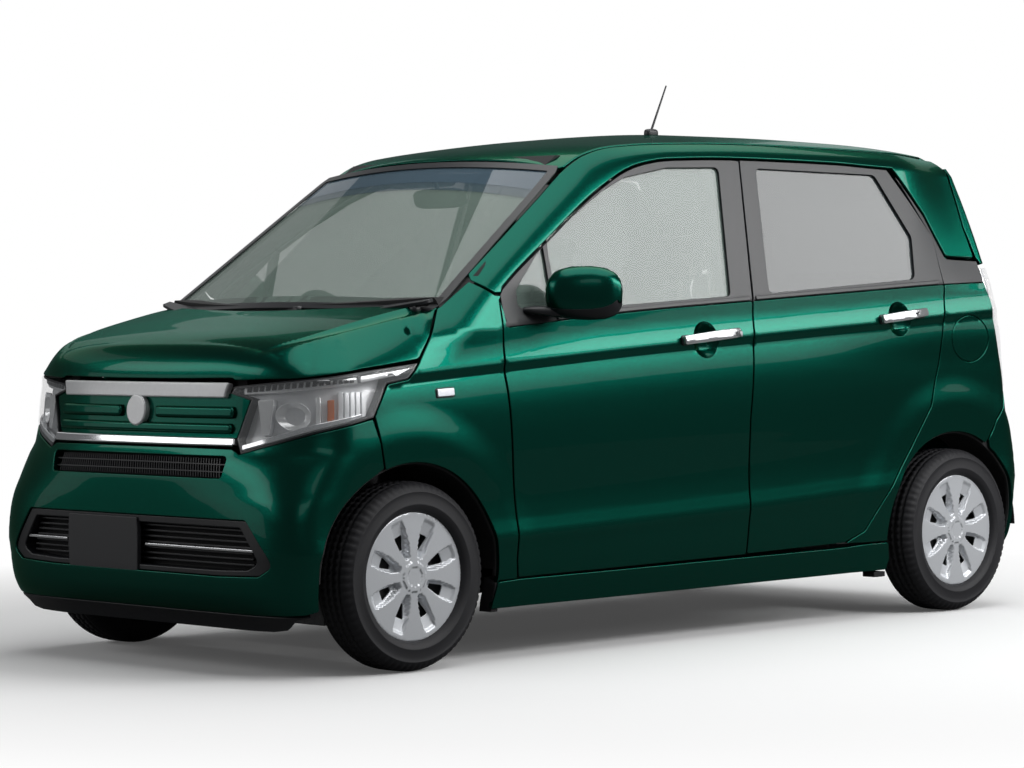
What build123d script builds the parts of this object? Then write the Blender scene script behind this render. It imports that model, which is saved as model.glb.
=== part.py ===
"""Two-box kei car with four side doors and a tailgate, built as separate panels, glass, seats, running gear and wheels.

Stations run rearward from the front axle, heights run up from the ground and the car's left side is -Y. The finished
model is moved so that its origin lies on the ground in the middle of the length, with the nose towards -X.
"""

from build123d import *

import os
from math import cos, hypot, radians, sin, sqrt

# Overall sizes and wheels, in mm
WHEELBASE = 2520
FRONT_OVERHANG = 485
REAR_OVERHANG = 390
HALF_WIDTH = 737.5
ROOF_TOP = 1632
TRACK = 2 * HALF_WIDTH - 175
TYRE_RADIUS = 278.5
TYRE_WIDTH = 155
RIM_RADIUS = 195
AXLE_Z = TYRE_RADIUS

NOSE = -FRONT_OVERHANG
TAIL = WHEELBASE + REAR_OVERHANG
MIDDLE = (NOSE + TAIL) / 2

# Body heights and half widths
SILL_Z = 165
FLOOR_Z = 205
FLOOR_THICK = 40
LOAD_FLOOR_Z = 508
LOAD_BOARD_Z = 520
BELT_Z = 1060
BELT_HALF = HALF_WIDTH - 25.5
RAIL_Z = 1500
RAIL_HALF = BELT_HALF - 112
ROOF_EDGE_HALF = RAIL_HALF - 70
ROOF_CROWN = 42
ROOF_PEAK_X = 1550
HEADER_X = 770
HEADER_FALL = 80
ROOF_REAR_FALL = 30

# Nose, bonnet and windscreen
BUMPER_Z = 185
BONNET_FRONT_Z = 866
BROW_Z = 948
COWL_X = 175
COWL_Z = 1072
BONNET_RISE = 22
BONNET_HALF = HALF_WIDTH - 109.5
COWL_BOW = 112
NOSE_BOW = 38
NOSE_CORNER = 150
TAIL_CORNER = 130
SCREEN_BASE_X = 62
SCREEN_SLOPE = 34.3
SCREEN_BOW = 60

# Walls, gaps and clearances
DOOR_THICK = 90
FRAME_THICK = 44
ROOF_THICK = 34
BONNET_THICK = 26
NOSE_THICK = 60
TAIL_THICK = 62
GAP = 6
SEAT_GAP = 0.3
GLASS_THICK = 5
GLASS_INSET = 7
ARCH_RADIUS = 345
ARCH_DROP = 8
REAR_ARCH_SHIFT = -22
DOOR_INNER_HALF = HALF_WIDTH - DOOR_THICK
WHEELHOUSE_HALF_FRONT = HALF_WIDTH - 345.5
WHEELHOUSE_HALF_REAR = HALF_WIDTH - 217.5
APRON_THICK = 12

# Door lines
DOOR_FRONT_X = 372
DOOR_FRONT_FOOT_X = 412
B_LINE_X = 1440
B_LINE_TOP_X = 1535
DOOR_BOTTOM_Z = 250
DOOR_TOP_Z = 1530
REAR_DOOR_END_X = WHEELBASE - 52
REAR_DOOR_TOP_END_X = REAR_DOOR_END_X - 123
WINDOW_SILL_FRONT_Z = 1052
WINDOW_SILL_REAR_Z = 1112

# Extents that every cutting tool shares, past the body on all sides
EDGE = 900
START, END = NOSE - 415, TAIL + 490
BELOW, ABOVE = -100, 2000

# Planes that fall away from the bonnet's and the front pillars' edges:
# height on the centreline at the front axle, fall towards the sides and climb to the rear
BONNET_SHOULDER = (1939, 1.463, 0.359)
PILLAR_SHOULDER = (1847, 1.43, 0.682)
FRONT_ARCH_X = -12
SCREEN_LOW = (BONNET_HALF, 132)
SCREEN_LOW_MIDDLE = 76
SCREEN_TOP = (RAIL_HALF - 60, 842)
SCREEN_TOP_MIDDLE = 830
STEERING_Y = 330
STUB_RADIUS = 18
COVER_SPOKES = 8
COVER_HOLE = ((70, -7), (112, -15), (112, 15), (70, 7))
STEERING_RADIUS = 180
DOOR_SKIN = 20
DOOR_STEP = 12
GATE_SKIN = 14
GATE_STEP = 16


def outline(*steps):
    """Closed face from its start. A pair of numbers ends a line, a pair of pairs an arc's middle and end."""
    here, edges = steps[0], []
    for step in steps[1:]:
        if isinstance(step[0], tuple):
            edges.append(ThreePointArc(here, *step))
            here = step[1]
        else:
            edges.append(Line(here, step))
            here = step
    edges.append(Line(here, steps[0]))
    return make_face(Wire(edges))


def across(face, half=EDGE):
    """Side outline in X and Z, extruded to both sides."""
    return extrude(Plane.XZ * face, half, both=True)


def lengthwise(face, start=START, end=END):
    """Front outline in Y and Z, extruded from one station to another."""
    return extrude(Plane.YZ.offset(start) * face, end - start)


def upright(face, low=0, high=ABOVE):
    """Plan outline in X and Y, extruded from one height to another."""
    return extrude(Plane.XY.offset(low) * face, high - low)


def block(x, y, z):
    """Box from three (low, high) pairs."""
    size = [high - low for low, high in (x, y, z)]
    return Pos(*((low + high) / 2 for low, high in (x, y, z))) * Box(*size)


def mirrored(shape):
    """The same shape on the car's other side."""
    return mirror(shape, Plane.XZ)


def left(shape):
    """What lies on the car's left, -Y."""
    return shape & block((START, END), (-EDGE, 0), (0, ABOVE))


def inset(steps, amount, axis=None):
    """The outline's steps moved inward. Points where coordinate `axis` is 0 stay on that axis."""
    points = [p for step in steps for p in (step if isinstance(step[0], tuple) else (step,))]
    turn = sum(a[0] * b[1] - b[0] * a[1] for a, b in zip(points, points[1:] + points[:1]))
    side = 1 if turn > 0 else -1
    moved = []
    for before, here, after in zip(points[-1:] + points[:-1], points, points[1:] + points[:1]):
        normals = []
        for start, end in ((before, here), (here, after)):
            u, v = end[0] - start[0], end[1] - start[1]
            normals.append((-v * side / hypot(u, v), u * side / hypot(u, v)))
        u, v = normals[0][0] + normals[1][0], normals[0][1] + normals[1][1]
        stretch = 2 * amount / max(u * u + v * v, 1)
        new = [here[0] + u * stretch, here[1] + v * stretch]
        if axis is not None and here[axis] == 0:
            new[axis] = 0
        moved.append(tuple(new))
    moved = iter(moved)
    return tuple((next(moved), next(moved)) if isinstance(step[0], tuple) else next(moved) for step in steps)


def roof_z(x):
    """Height of the roof's centreline."""
    if x < ROOF_PEAK_X:
        return ROOF_TOP - HEADER_FALL * ((ROOF_PEAK_X - x) / (ROOF_PEAK_X - HEADER_X)) ** 2
    return ROOF_TOP - ROOF_REAR_FALL * ((x - ROOF_PEAK_X) / (TAIL - ROOF_PEAK_X)) ** 2


LOWER_SIDE = (
    (NOSE + 70, BUMPER_Z),
    ((NOSE + 12, BUMPER_Z + 45), (NOSE, BUMPER_Z + 150)),
    (NOSE, 560),
    ((NOSE + 6, 640), (NOSE + 22, 700)),
    (NOSE + 34, BONNET_FRONT_Z - 6),
    ((NOSE + 45, BROW_Z - 30), (NOSE + 80, BROW_Z)),
    ((-180, 1016), (COWL_X, COWL_Z + BONNET_RISE)),
    (500, BELT_Z + 40),
    (TAIL - 118, BELT_Z + 60),
    ((TAIL - 88, 960), (TAIL - 66, 760)),
    (TAIL - 34, 650),
    ((TAIL - 6, 600), (TAIL, 520)),
    (TAIL, 330),
    ((TAIL - 14, 270), (TAIL - 60, 240)),
    (WHEELBASE + 250, 235),
    (WHEELBASE - 500, SILL_Z + 28),
    (350, SILL_Z - 5),
)
UPPER_SIDE = (
    (-100, 950),
    (-100, roof_z(500) - 40),
    (500, roof_z(500)),
    ((1000, roof_z(1000)), (ROOF_PEAK_X, ROOF_TOP)),
    ((TAIL - 760, roof_z(TAIL - 760)), (TAIL - 200, roof_z(TAIL - 200))),
    (TAIL - 165, 1500),
    (TAIL - 118, BELT_Z + 60),
    (TAIL - 100, 950),
)
SECTION_HALF = (
    (0, 140),
    (660, 140),
    (HALF_WIDTH - 40, SILL_Z - 5),
    ((HALF_WIDTH - 12, 240), (HALF_WIDTH, 350)),
    (HALF_WIDTH, 760),
    ((HALF_WIDTH - 7, 930), (BELT_HALF, BELT_Z)),
    (RAIL_HALF, RAIL_Z),
    ((RAIL_HALF - 18, 1556), (ROOF_EDGE_HALF, ROOF_TOP - ROOF_CROWN)),
    ((ROOF_EDGE_HALF / 2, ROOF_TOP - ROOF_CROWN * 0.27), (0, ROOF_TOP + 1)),
)


# Plan of the body from the lamps up, and of the bumpers, whose front corners are squarer
PLAN_REAR = (
    ((-100, HALF_WIDTH - 4), (300, HALF_WIDTH)),
    (WHEELBASE - 200, HALF_WIDTH),
    ((WHEELBASE, HALF_WIDTH - 5), (TAIL - TAIL_CORNER - 30, HALF_WIDTH - 18)),
    ((TAIL - 62, HALF_WIDTH - 60), (TAIL - 24, HALF_WIDTH - TAIL_CORNER - 30)),
    ((TAIL - 4, 300), (TAIL, 0)),
)
PLAN_HALF = (
    (NOSE, 0),
    ((NOSE + NOSE_BOW * 0.3, 300), (NOSE + NOSE_BOW, HALF_WIDTH - NOSE_CORNER - 50)),
    ((NOSE + NOSE_BOW + 62, HALF_WIDTH - 62), (NOSE + NOSE_BOW + NOSE_CORNER + 30, HALF_WIDTH - 14)),
) + PLAN_REAR
BUMPER_PLAN_HALF = (
    (NOSE, 0),
    ((NOSE + 2, 300), (NOSE + 13, HALF_WIDTH - NOSE_CORNER - 10)),
    ((NOSE + 62, HALF_WIDTH - 45), (NOSE + NOSE_BOW + NOSE_CORNER + 30, HALF_WIDTH - 9)),
) + PLAN_REAR
BUMPER_SHELF_Z = (500, 670)


def screen_block(inset=0):
    """Everything behind the bowed windscreen surface."""
    slope = radians(SCREEN_SLOPE)
    plane = Plane(
        origin=(SCREEN_BASE_X, 0, BELT_Z),
        x_dir=(0, 1, 0),
        z_dir=(cos(slope), 0, sin(slope)),
    )
    # Local y points down and back from the glass.
    face = outline(
        (-EDGE, SCREEN_BOW * 2.2 + inset),
        ((0, inset), (EDGE, SCREEN_BOW * 2.2 + inset)),
        (EDGE, 4000),
        (-EDGE, 4000),
    )
    if plane.y_dir.Z > 0:
        face = mirror(face, Plane.XZ)
    return extrude(plane * face, 2500, both=True)


def shoulder(top, drop, rise, inset=0):
    """Everything under two planes that fall by `drop` towards the sides and climb by `rise` rearward."""
    top = top - inset * sqrt(1 + drop**2 + rise**2) + rise * START
    low, side = top - 4 * ABOVE, top - drop * EDGE
    face = outline((-EDGE, low), (EDGE, low), (EDGE, side), (0, top), (-EDGE, side))
    length = hypot(1, rise)
    return extrude(Plane.YZ.offset(START) * face, (END - START) * length, dir=(1 / length, 0, rise / length))


def body_form(side_in=0, section_in=0, plan_in=0, screen_in=0):
    """The car's outer form, or the same form with its walls moved inward."""
    section = outline(*inset(SECTION_HALF, section_in, axis=0))
    section += mirror(section, Plane.YZ)
    low_plan, plan = (outline(*inset(half, plan_in, axis=1)) for half in (BUMPER_PLAN_HALF, PLAN_HALF))
    low_plan, plan = (face + mirror(face, Plane.XZ) for face in (low_plan, plan))
    shelf, top = BUMPER_SHELF_Z
    walls = upright(low_plan, 0, shelf) + upright(plan, top)
    walls += loft([Plane.XY.offset(shelf) * low_plan, Plane.XY.offset(top) * plan], ruled=True)
    lower = across(outline(*inset(LOWER_SIDE, side_in))) & shoulder(*BONNET_SHOULDER, side_in)
    upper = across(outline(*inset(UPPER_SIDE, side_in))) & screen_block(screen_in)
    upper &= shoulder(*PILLAR_SHOULDER, screen_in)
    return (lower + upper) & lengthwise(section) & walls


# Side outlines of the doors, windows and front panels, in X and Z
FRONT_DOOR = (
    (DOOR_FRONT_FOOT_X, DOOR_BOTTOM_Z),
    (DOOR_FRONT_X, 880),
    (DOOR_FRONT_X + 6, 1098),
    (850, 1406),
    ((1000, 1486), (1190, DOOR_TOP_Z - 4)),
    (B_LINE_TOP_X - 10, DOOR_TOP_Z + 4),
    (B_LINE_X + 48, BELT_Z + 10),
    (B_LINE_X, 700),
    (B_LINE_X, DOOR_BOTTOM_Z),
)
REAR_DOOR = (
    (B_LINE_X, DOOR_BOTTOM_Z),
    (B_LINE_X, 700),
    (B_LINE_X + 48, BELT_Z + 10),
    (B_LINE_TOP_X, DOOR_TOP_Z + 4),
    ((REAR_DOOR_TOP_END_X - 445, DOOR_TOP_Z + 2), (REAR_DOOR_TOP_END_X - 60, DOOR_TOP_Z - 20)),
    (REAR_DOOR_TOP_END_X, DOOR_TOP_Z - 50),
    (REAR_DOOR_END_X - 8, 1290),
    (REAR_DOOR_END_X, 1118),
    ((REAR_DOOR_END_X - 25, 880), (REAR_DOOR_END_X - 109, 706)),
    ((REAR_DOOR_END_X - 208, 569), (REAR_DOOR_END_X - 458, 300)),
    (REAR_DOOR_END_X - 548, DOOR_BOTTOM_Z),
)
FRONT_WINDOW = (
    (455, WINDOW_SILL_FRONT_Z + 22),
    (470, 1118),
    (860, 1362),
    ((1010, 1456), (1200, 1490)),
    (1455, 1494),
    (1372, WINDOW_SILL_FRONT_Z + 34),
)
REAR_WINDOW = (
    (1572, WINDOW_SILL_REAR_Z - 20),
    (1628, 1496),
    ((REAR_DOOR_END_X - 518, 1494), (REAR_DOOR_END_X - 243, 1478)),
    (REAR_DOOR_END_X - 123, 1275),
    (REAR_DOOR_END_X - 168, WINDOW_SILL_REAR_Z + 12),
)
BUMPER_SPLIT_X = -133
LAMP_TIP = (40, 906)
LAMP_FRONT_LOW_Z = 656
LAMP_INNER_HALF = HALF_WIDTH - 312.5
LAMP_TOP_Z = BONNET_FRONT_Z - 6
HEADLAMP = (
    (NOSE - 50, LAMP_FRONT_LOW_Z),
    (-454, LAMP_FRONT_LOW_Z),
    (BUMPER_SPLIT_X, 746),
    (-70, 800),
    LAMP_TIP,
    (-333, 882),
    (NOSE - 50, LAMP_TOP_Z),
)
BONNET = (
    (NOSE - 50, LAMP_TOP_Z),
    (-333, 882),
    LAMP_TIP,
    (COWL_X - 2, COWL_Z - 10),
    (COWL_X - 2, 1400),
    (NOSE - 50, 1400),
)
FENDER = (
    (BUMPER_SPLIT_X, 100),
    (BUMPER_SPLIT_X, 746),
    (-70, 800),
    LAMP_TIP,
    (COWL_X - 2, COWL_Z - 10),
    (COWL_X - 2, 1400),
    (330, 1400),
    (330, 1094),
    (DOOR_FRONT_X + 60, 1094),
    (DOOR_FRONT_X + 60, 100),
)
FRONT_BUMPER = (
    (NOSE - 50, 100),
    (BUMPER_SPLIT_X, 100),
    (BUMPER_SPLIT_X, 746),
    (-454, LAMP_FRONT_LOW_Z),
    (NOSE - 50, LAMP_FRONT_LOW_Z),
)
FENDER_INNER_HALF = HALF_WIDTH - 82.5
GRILLE_LOW_Z = 596
LOWER_GRILLE_HALF = HALF_WIDTH - 250.5
LOWER_GRILLE_Z = (275, 455)
PLATE_SIZE = (330, 165)
PLATE_MIDDLE = (165, 366)

# Rear end: tailgate outlines in X and Z and in Y and Z, rear window, lamps and bumper
HINGE_X = TAIL - 320
TAILGATE_SIDE = (
    (HINGE_X, 1700),
    (TAIL + 90, 1700),
    (TAIL + 90, 604),
    (TAIL - 220, 604),
    (TAIL - 220, 1400),
    (HINGE_X, 1500),
)
GATE_HALF = HALF_WIDTH - 125.5
TAILGATE_HALF = (
    (0, 500), (GATE_HALF, 500), (GATE_HALF, 1020), (RAIL_HALF - 85, 1500), (RAIL_HALF - 108, 1700), (0, 1700)
)
REAR_GLASS_HALF = ((0, 1135), (RAIL_HALF - 80, 1135), (RAIL_HALF - 138, 1462), (0, 1462))
TAIL_LAMP_SIDE = ((TAIL - 210, 1190), (TAIL + 90, 1190), (TAIL + 90, 640), (TAIL - 120, 640))
REAR_BUMPER = ((TAIL - 98, 100), (TAIL + 90, 100), (TAIL + 90, 604), (TAIL - 166, 604), (TAIL - 110, 430))

# Rounded hollow for people and loads
CABIN_SIDE = (
    (335, FLOOR_Z + FLOOR_THICK),
    (250, 420),
    (250, 1060),
    (-100, 1060),
    (-100, roof_z(500) - 80),
    (500, roof_z(500) - ROOF_THICK),
    ((1000, roof_z(1000) - ROOF_THICK), (ROOF_PEAK_X, ROOF_TOP - ROOF_THICK)),
    ((TAIL - 760, roof_z(TAIL - 760) - ROOF_THICK), (TAIL - 262, roof_z(TAIL - 200) - ROOF_THICK - 4)),
    (TAIL - 165 - TAIL_THICK, 1490),
    (TAIL - 118 - TAIL_THICK, BELT_Z + 60),
    (TAIL - 88 - TAIL_THICK, 760),
    (TAIL - 88 - TAIL_THICK, LOAD_FLOOR_Z),
    (WHEELBASE - 370, LOAD_FLOOR_Z),
    (WHEELBASE - 460, 420),
    (WHEELBASE - 530, FLOOR_Z + FLOOR_THICK),
)
CABIN_HALF = (
    (0, FLOOR_Z),
    (HALF_WIDTH - DOOR_THICK, FLOOR_Z),
    (HALF_WIDTH - DOOR_THICK, 930),
    (BELT_HALF - FRAME_THICK - 12, BELT_Z),
    (RAIL_HALF - FRAME_THICK, RAIL_Z),
    (ROOF_EDGE_HALF - 34, ROOF_TOP - ROOF_CROWN - ROOF_THICK + 6),
    ((ROOF_EDGE_HALF / 2, ROOF_TOP - ROOF_CROWN * 0.27 - ROOF_THICK), (0, ROOF_TOP - ROOF_THICK)),
)
UNDERSIDE = (
    (236, -50),
    (236, FLOOR_Z),
    (WHEELBASE - 555, FLOOR_Z),
    (WHEELBASE - 495, 430),
    (WHEELBASE - 400, 480),
    (TAIL - 150, 480),
    (TAIL - 150, -50),
)


def prism(steps, grow=0, half=EDGE):
    """Side outline, grown by a margin, right across the car."""
    return across(outline(*inset(steps, -grow)), half)


def sides(inner):
    """Everything farther out than a half width, on both sides."""
    right = block((START, END), (inner, EDGE), (BELOW, ABOVE))
    return right + mirrored(right)


def between(half):
    """Everything nearer to the middle than a half width."""
    return block((START, END), (-half, half), (BELOW, ABOVE))


def doubled(half_steps, start=START, end=END, grow=0):
    """Front outline given by its half, mirrored and extruded lengthwise."""
    face = outline(*inset(half_steps, -grow, axis=0))
    return lengthwise(face + mirror(face, Plane.YZ), start, end)


def pair(shape):
    """A shape and its mirror image, as one node."""
    return Compound(shape.solids() + mirrored(shape).solids())


def arch(x, inner, radius=ARCH_RADIUS):
    """A pair of wheelhouses, open at the bottom."""
    z = AXLE_Z - ARCH_DROP
    well = extrude(Plane.XZ * Pos(x, z) * Circle(radius), EDGE, both=True)
    return (well + block((x - radius, x + radius), (-EDGE, EDGE), (-50, z))) & sides(inner)


def arches(wall=0):
    """All four wheelhouses, or the same with walls round them."""
    front = arch(FRONT_ARCH_X, WHEELHOUSE_HALF_FRONT - wall, ARCH_RADIUS + wall)
    return front + arch(WHEELBASE + REAR_ARCH_SHIFT, WHEELHOUSE_HALF_REAR - wall, ARCH_RADIUS + wall)


def cowl_line(margin):
    """Everything ahead of the bonnet's bowed rear edge, seen from above."""
    side, middle = COWL_X - 2 + margin, COWL_X - COWL_BOW + margin
    return upright(
        outline(
            (START, -EDGE), (side + 40, -EDGE), (side, -BONNET_HALF), ((middle, 0), (side, BONNET_HALF)),
            (side + 40, EDGE), (START, EDGE),
        )
    )


def screen_prism(margin):
    """The windscreen's outline, square to the glass."""
    slope = radians(SCREEN_SLOPE)
    plane = Plane(origin=(SCREEN_BASE_X, 0, BELT_Z), x_dir=(0, 1, 0), z_dir=(sin(slope), 0, -cos(slope)))
    low, top = SCREEN_LOW, SCREEN_TOP
    steps = (
        (-low[0] + margin, low[1] + margin),
        ((0, SCREEN_LOW_MIDDLE + margin), (low[0] - margin, low[1] + margin)),
        (top[0] - margin, top[1] - margin),
        ((0, SCREEN_TOP_MIDDLE - margin), (-top[0] + margin, top[1] - margin)),
    )
    face = outline(*steps)
    if plane.y_dir.Z < 0:
        face = mirror(face, Plane.XZ)
    return extrude(plane * face, 300, both=True)


def side_pane(steps):
    """Flat side glass in its opening, leaning in with the body's side."""
    lean = hypot(BELT_HALF - RAIL_HALF, RAIL_Z - BELT_Z) / (RAIL_Z - BELT_Z)
    reach = (BELT_HALF - RAIL_HALF) / (RAIL_Z - BELT_Z) * 100
    outer, inner = (lean * GLASS_INSET, lean * (GLASS_INSET + GLASS_THICK))
    strip = (
        (-BELT_HALF - reach + outer, BELT_Z - 100),
        (-RAIL_HALF + reach + outer, RAIL_Z + 100),
        (-RAIL_HALF + reach + inner, RAIL_Z + 100),
        (-BELT_HALF - reach + inner, BELT_Z - 100),
    )
    return prism(steps, -SEAT_GAP) & lengthwise(outline(*strip))


def tube(points, radius):
    """Round bar through a list of points."""
    path = Polyline(*points) if len(points) > 2 else Line(*points)
    ends = Plane(origin=points[0], z_dir=Vector(*points[1]) - Vector(*points[0])) * Circle(radius)
    return sweep(ends, path, transition=Transition.RIGHT)


def save(name, shape):
    """Writes one node, moved to the row's frame."""
    solids = [s for s in shape.solids() if s.volume > 50]
    node = Compound(solids) if len(solids) > 1 else solids[0]
    export_step(Pos(-MIDDLE, 0, 0) * node, f"parts/{name}.step")
    nodes[name] = node


def build_body():
    """All panels, cut from one shell."""
    outer = body_form()
    hollow = across(outline(*CABIN_SIDE)) & doubled(CABIN_HALF) & screen_block(GLASS_THICK + 9)
    hollow = (hollow & shoulder(*PILLAR_SHOULDER, 30)) - arches(APRON_THICK)
    bay = across(outline(*inset(LOWER_SIDE, BONNET_THICK))) & shoulder(*BONNET_SHOULDER, BONNET_THICK)
    bay = bay & (
        block((NOSE + NOSE_THICK, 236), (12 - WHEELHOUSE_HALF_FRONT, WHEELHOUSE_HALF_FRONT - 12), (0, 1400))
        + block((-300, 236), (-FENDER_INNER_HALF, FENDER_INNER_HALF), (662, 1400))
    )
    under = across(outline(*UNDERSIDE), HALF_WIDTH - 112.5) - arches(1)
    under += block((WHEELBASE - 340, TAIL - 70), (167.5 - HALF_WIDTH, HALF_WIDTH - 167.5), (-50, 400))
    under += block((NOSE + 100, 236), (-WHEELHOUSE_HALF_FRONT, WHEELHOUSE_HALF_FRONT), (-50, 260))
    shell = outer - hollow - bay - arches() - under

    # Doors: a full outer skin and a smaller inner box, so that the rear edge swings clear
    reach = (BELT_HALF - RAIL_HALF) / (RAIL_Z - BELT_Z)
    foot, head = BELT_HALF - DOOR_SKIN + reach * 60, RAIL_HALF - DOOR_SKIN - reach * 200
    skin = sides(HALF_WIDTH - DOOR_SKIN) + doubled(
        ((foot, BELT_Z - 60), (EDGE, BELT_Z - 60), (EDGE, RAIL_Z + 200), (head, RAIL_Z + 200))
    )
    rest = shell
    for place, steps, window in (("front", FRONT_DOOR, FRONT_WINDOW), ("rear", REAR_DOOR, REAR_WINDOW)):
        wall = sides(RAIL_HALF - 120) - block((START, END), (-EDGE, EDGE), (0, 930))
        wall += sides(HALF_WIDTH - DOOR_THICK - 1)
        stock = left(shell) & wall
        door = (stock & prism(steps, -GAP / 2) & skin) + (stock & prism(steps, -GAP / 2 - DOOR_STEP))
        rest -= prism(steps, GAP / 2) & wall
        door -= prism(window)
        glass = side_pane(window)
        for side, move in (("left", lambda item: item), ("right", mirrored)):
            save(f"door_{place}_{side}", move(door))
            save(f"door_{place}_{side}_glass", move(glass))

    # Bonnet
    save("bonnet", rest & prism(BONNET, -GAP / 2) & cowl_line(-GAP / 2))
    rest -= prism(BONNET, GAP / 2) & cowl_line(GAP / 2)

    # Tailgate and its window
    stock = rest & prism(TAILGATE_SIDE, -GAP / 2)
    core = across(outline(*inset(LOWER_SIDE, GATE_SKIN)) + outline(*inset(UPPER_SIDE, GATE_SKIN)))
    tailgate = (stock & doubled(TAILGATE_HALF, grow=-GAP / 2)) - core
    tailgate += stock & doubled(TAILGATE_HALF, grow=-GAP / 2 - GATE_STEP)
    rest -= prism(TAILGATE_SIDE, GAP / 2) & doubled(TAILGATE_HALF, grow=GAP / 2)
    window = doubled(REAR_GLASS_HALF, TAIL - 410, TAIL + 90)
    top = (TAIL - 165, 1500)
    low = (TAIL - 118, BELT_Z + 60)
    slab = outline(
        (low[0] - GLASS_INSET, low[1]),
        (top[0] - GLASS_INSET, top[1]),
        (top[0] - GLASS_INSET - GLASS_THICK, top[1]),
        (low[0] - GLASS_INSET - GLASS_THICK, low[1]),
    )
    save("tailgate", tailgate - window)
    save("tailgate_glass", across(slab) & doubled(REAR_GLASS_HALF, TAIL - 410, TAIL + 90, grow=-SEAT_GAP))

    # Windscreen
    scuttle = across(outline(*LOWER_SIDE)) & shoulder(*BONNET_SHOULDER)
    glass = (screen_block(GLASS_INSET) - screen_block(GLASS_INSET + GLASS_THICK)) & screen_prism(SEAT_GAP)
    save("windscreen", glass - scuttle)
    rest -= (screen_prism(0) & block((0, 1000), (-EDGE, EDGE), (1000, 1620))) - scuttle

    # Front end
    nose = between(LAMP_INNER_HALF) & block((NOSE - 50, NOSE + NOSE_THICK + 40), (-EDGE, EDGE), (GRILLE_LOW_Z, 900))
    grille = rest & nose
    rest -= nose
    save("grille", grille)
    lamps = prism(HEADLAMP) & sides(LAMP_INNER_HALF)
    save("headlamps", rest & lamps)
    rest -= lamps
    across_grille = (-LOWER_GRILLE_HALF, LOWER_GRILLE_HALF)
    low_grille = block((NOSE - 50, NOSE + NOSE_THICK + 10), across_grille, LOWER_GRILLE_Z)
    bumper_tool = prism(FRONT_BUMPER)
    bumper = (rest & bumper_tool) - low_grille
    rest -= bumper_tool
    save("front_bumper", bumper)
    y, z = PLATE_MIDDLE
    mesh = block((NOSE + 22, NOSE + 40), across_grille, LOWER_GRILLE_Z)
    wide, tall = PLATE_SIZE
    plate = block((NOSE + 4, NOSE + 22), (y - wide / 2, y + wide / 2), (z - tall / 2, z + tall / 2))
    save("lower_grille", mesh + plate)
    save("front_fenders", rest & prism(FENDER) & sides(FENDER_INNER_HALF))
    rest -= prism(FENDER) & sides(FENDER_INNER_HALF)

    # Rear end
    bumper_tool = prism(REAR_BUMPER)
    save("rear_bumper", rest & bumper_tool)
    rest -= bumper_tool
    lamps = prism(TAIL_LAMP_SIDE) & sides(GATE_HALF + 6)
    save("tail_lamps", rest & lamps)
    rest -= lamps

    # Roof, side frames, floor and what divides the cabin from the engine bay
    roof = block((640, 3000), (-EDGE, EDGE), (1536, 1800))
    save("roof_panel", rest & roof)
    rest -= roof
    quarter = block((WHEELBASE - 580, TAIL + 90), (-EDGE, EDGE), (255, 1536)) & sides(RAIL_HALF - 100)
    save("quarter_panels", rest & quarter)
    rest -= quarter
    floor = prism(
        (
            (300, 0), (300, 300), (WHEELBASE - 520, 300), (WHEELBASE - 520, 640), (TAIL + 90, 640), (TAIL + 90, 0)
        )
    )
    save("floor_pan", rest & floor)
    rest -= floor
    side = sides(RAIL_HALF - 120)
    posts = block((240, 700), (-EDGE, EDGE), (300, BELT_Z + 6)) & side
    save("hinge_pillars", rest & posts)
    rest -= posts
    pillars = prism(((240, BELT_Z + 6), (900, 1700), (1000, 1700), (1000, BELT_Z + 6))) & side
    save("a_pillars", rest & pillars)
    rest -= pillars
    rails = block((1000, TAIL + 90), (-EDGE, EDGE), (1000, 1700)) & side
    save("side_rails", rest & rails)
    rest -= rails
    save("bulkhead", rest)


# Cabin: post between the doors, dashboard, and the front seat's parts with their half widths
TRIM_HALF = HALF_WIDTH - 137.5
SEAT_Y = 305
B_POST = ((1395, 200), (1395, 1000), (1475, 1600), (1545, 1600), (1485, 1000), (1470, 200))
DASHBOARD = ((250.3, 640), (250.3, 1030), (330, 1046), ((500, 1040), (560, 960)), (540, 860), (420, 640))
CUSHION = ((900, 430), ((915, 545), (980, 560)), (1390, 520), (1390, 410), (920, 400))
BACKREST = ((1300, 530), ((1395, 540), (1420, 620)), (1560, 1080), ((1540, 1120), (1490, 1110)), (1330, 700))
HEADREST = ((1490, 1140), ((1545, 1130), (1590, 1150)), (1610, 1290), ((1570, 1320), (1530, 1300)))
HEADREST_STAY = ((1515, 1090), (1535, 1090), (1565, 1180), (1545, 1180))
FRONT_SEAT = ((CUSHION, 235), (BACKREST, 225), (HEADREST, 110), (HEADREST_STAY, 50))
DOOR_LEAVES = ((380, 440), (380, 800), (1460, 400), (1460, 800))


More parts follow.
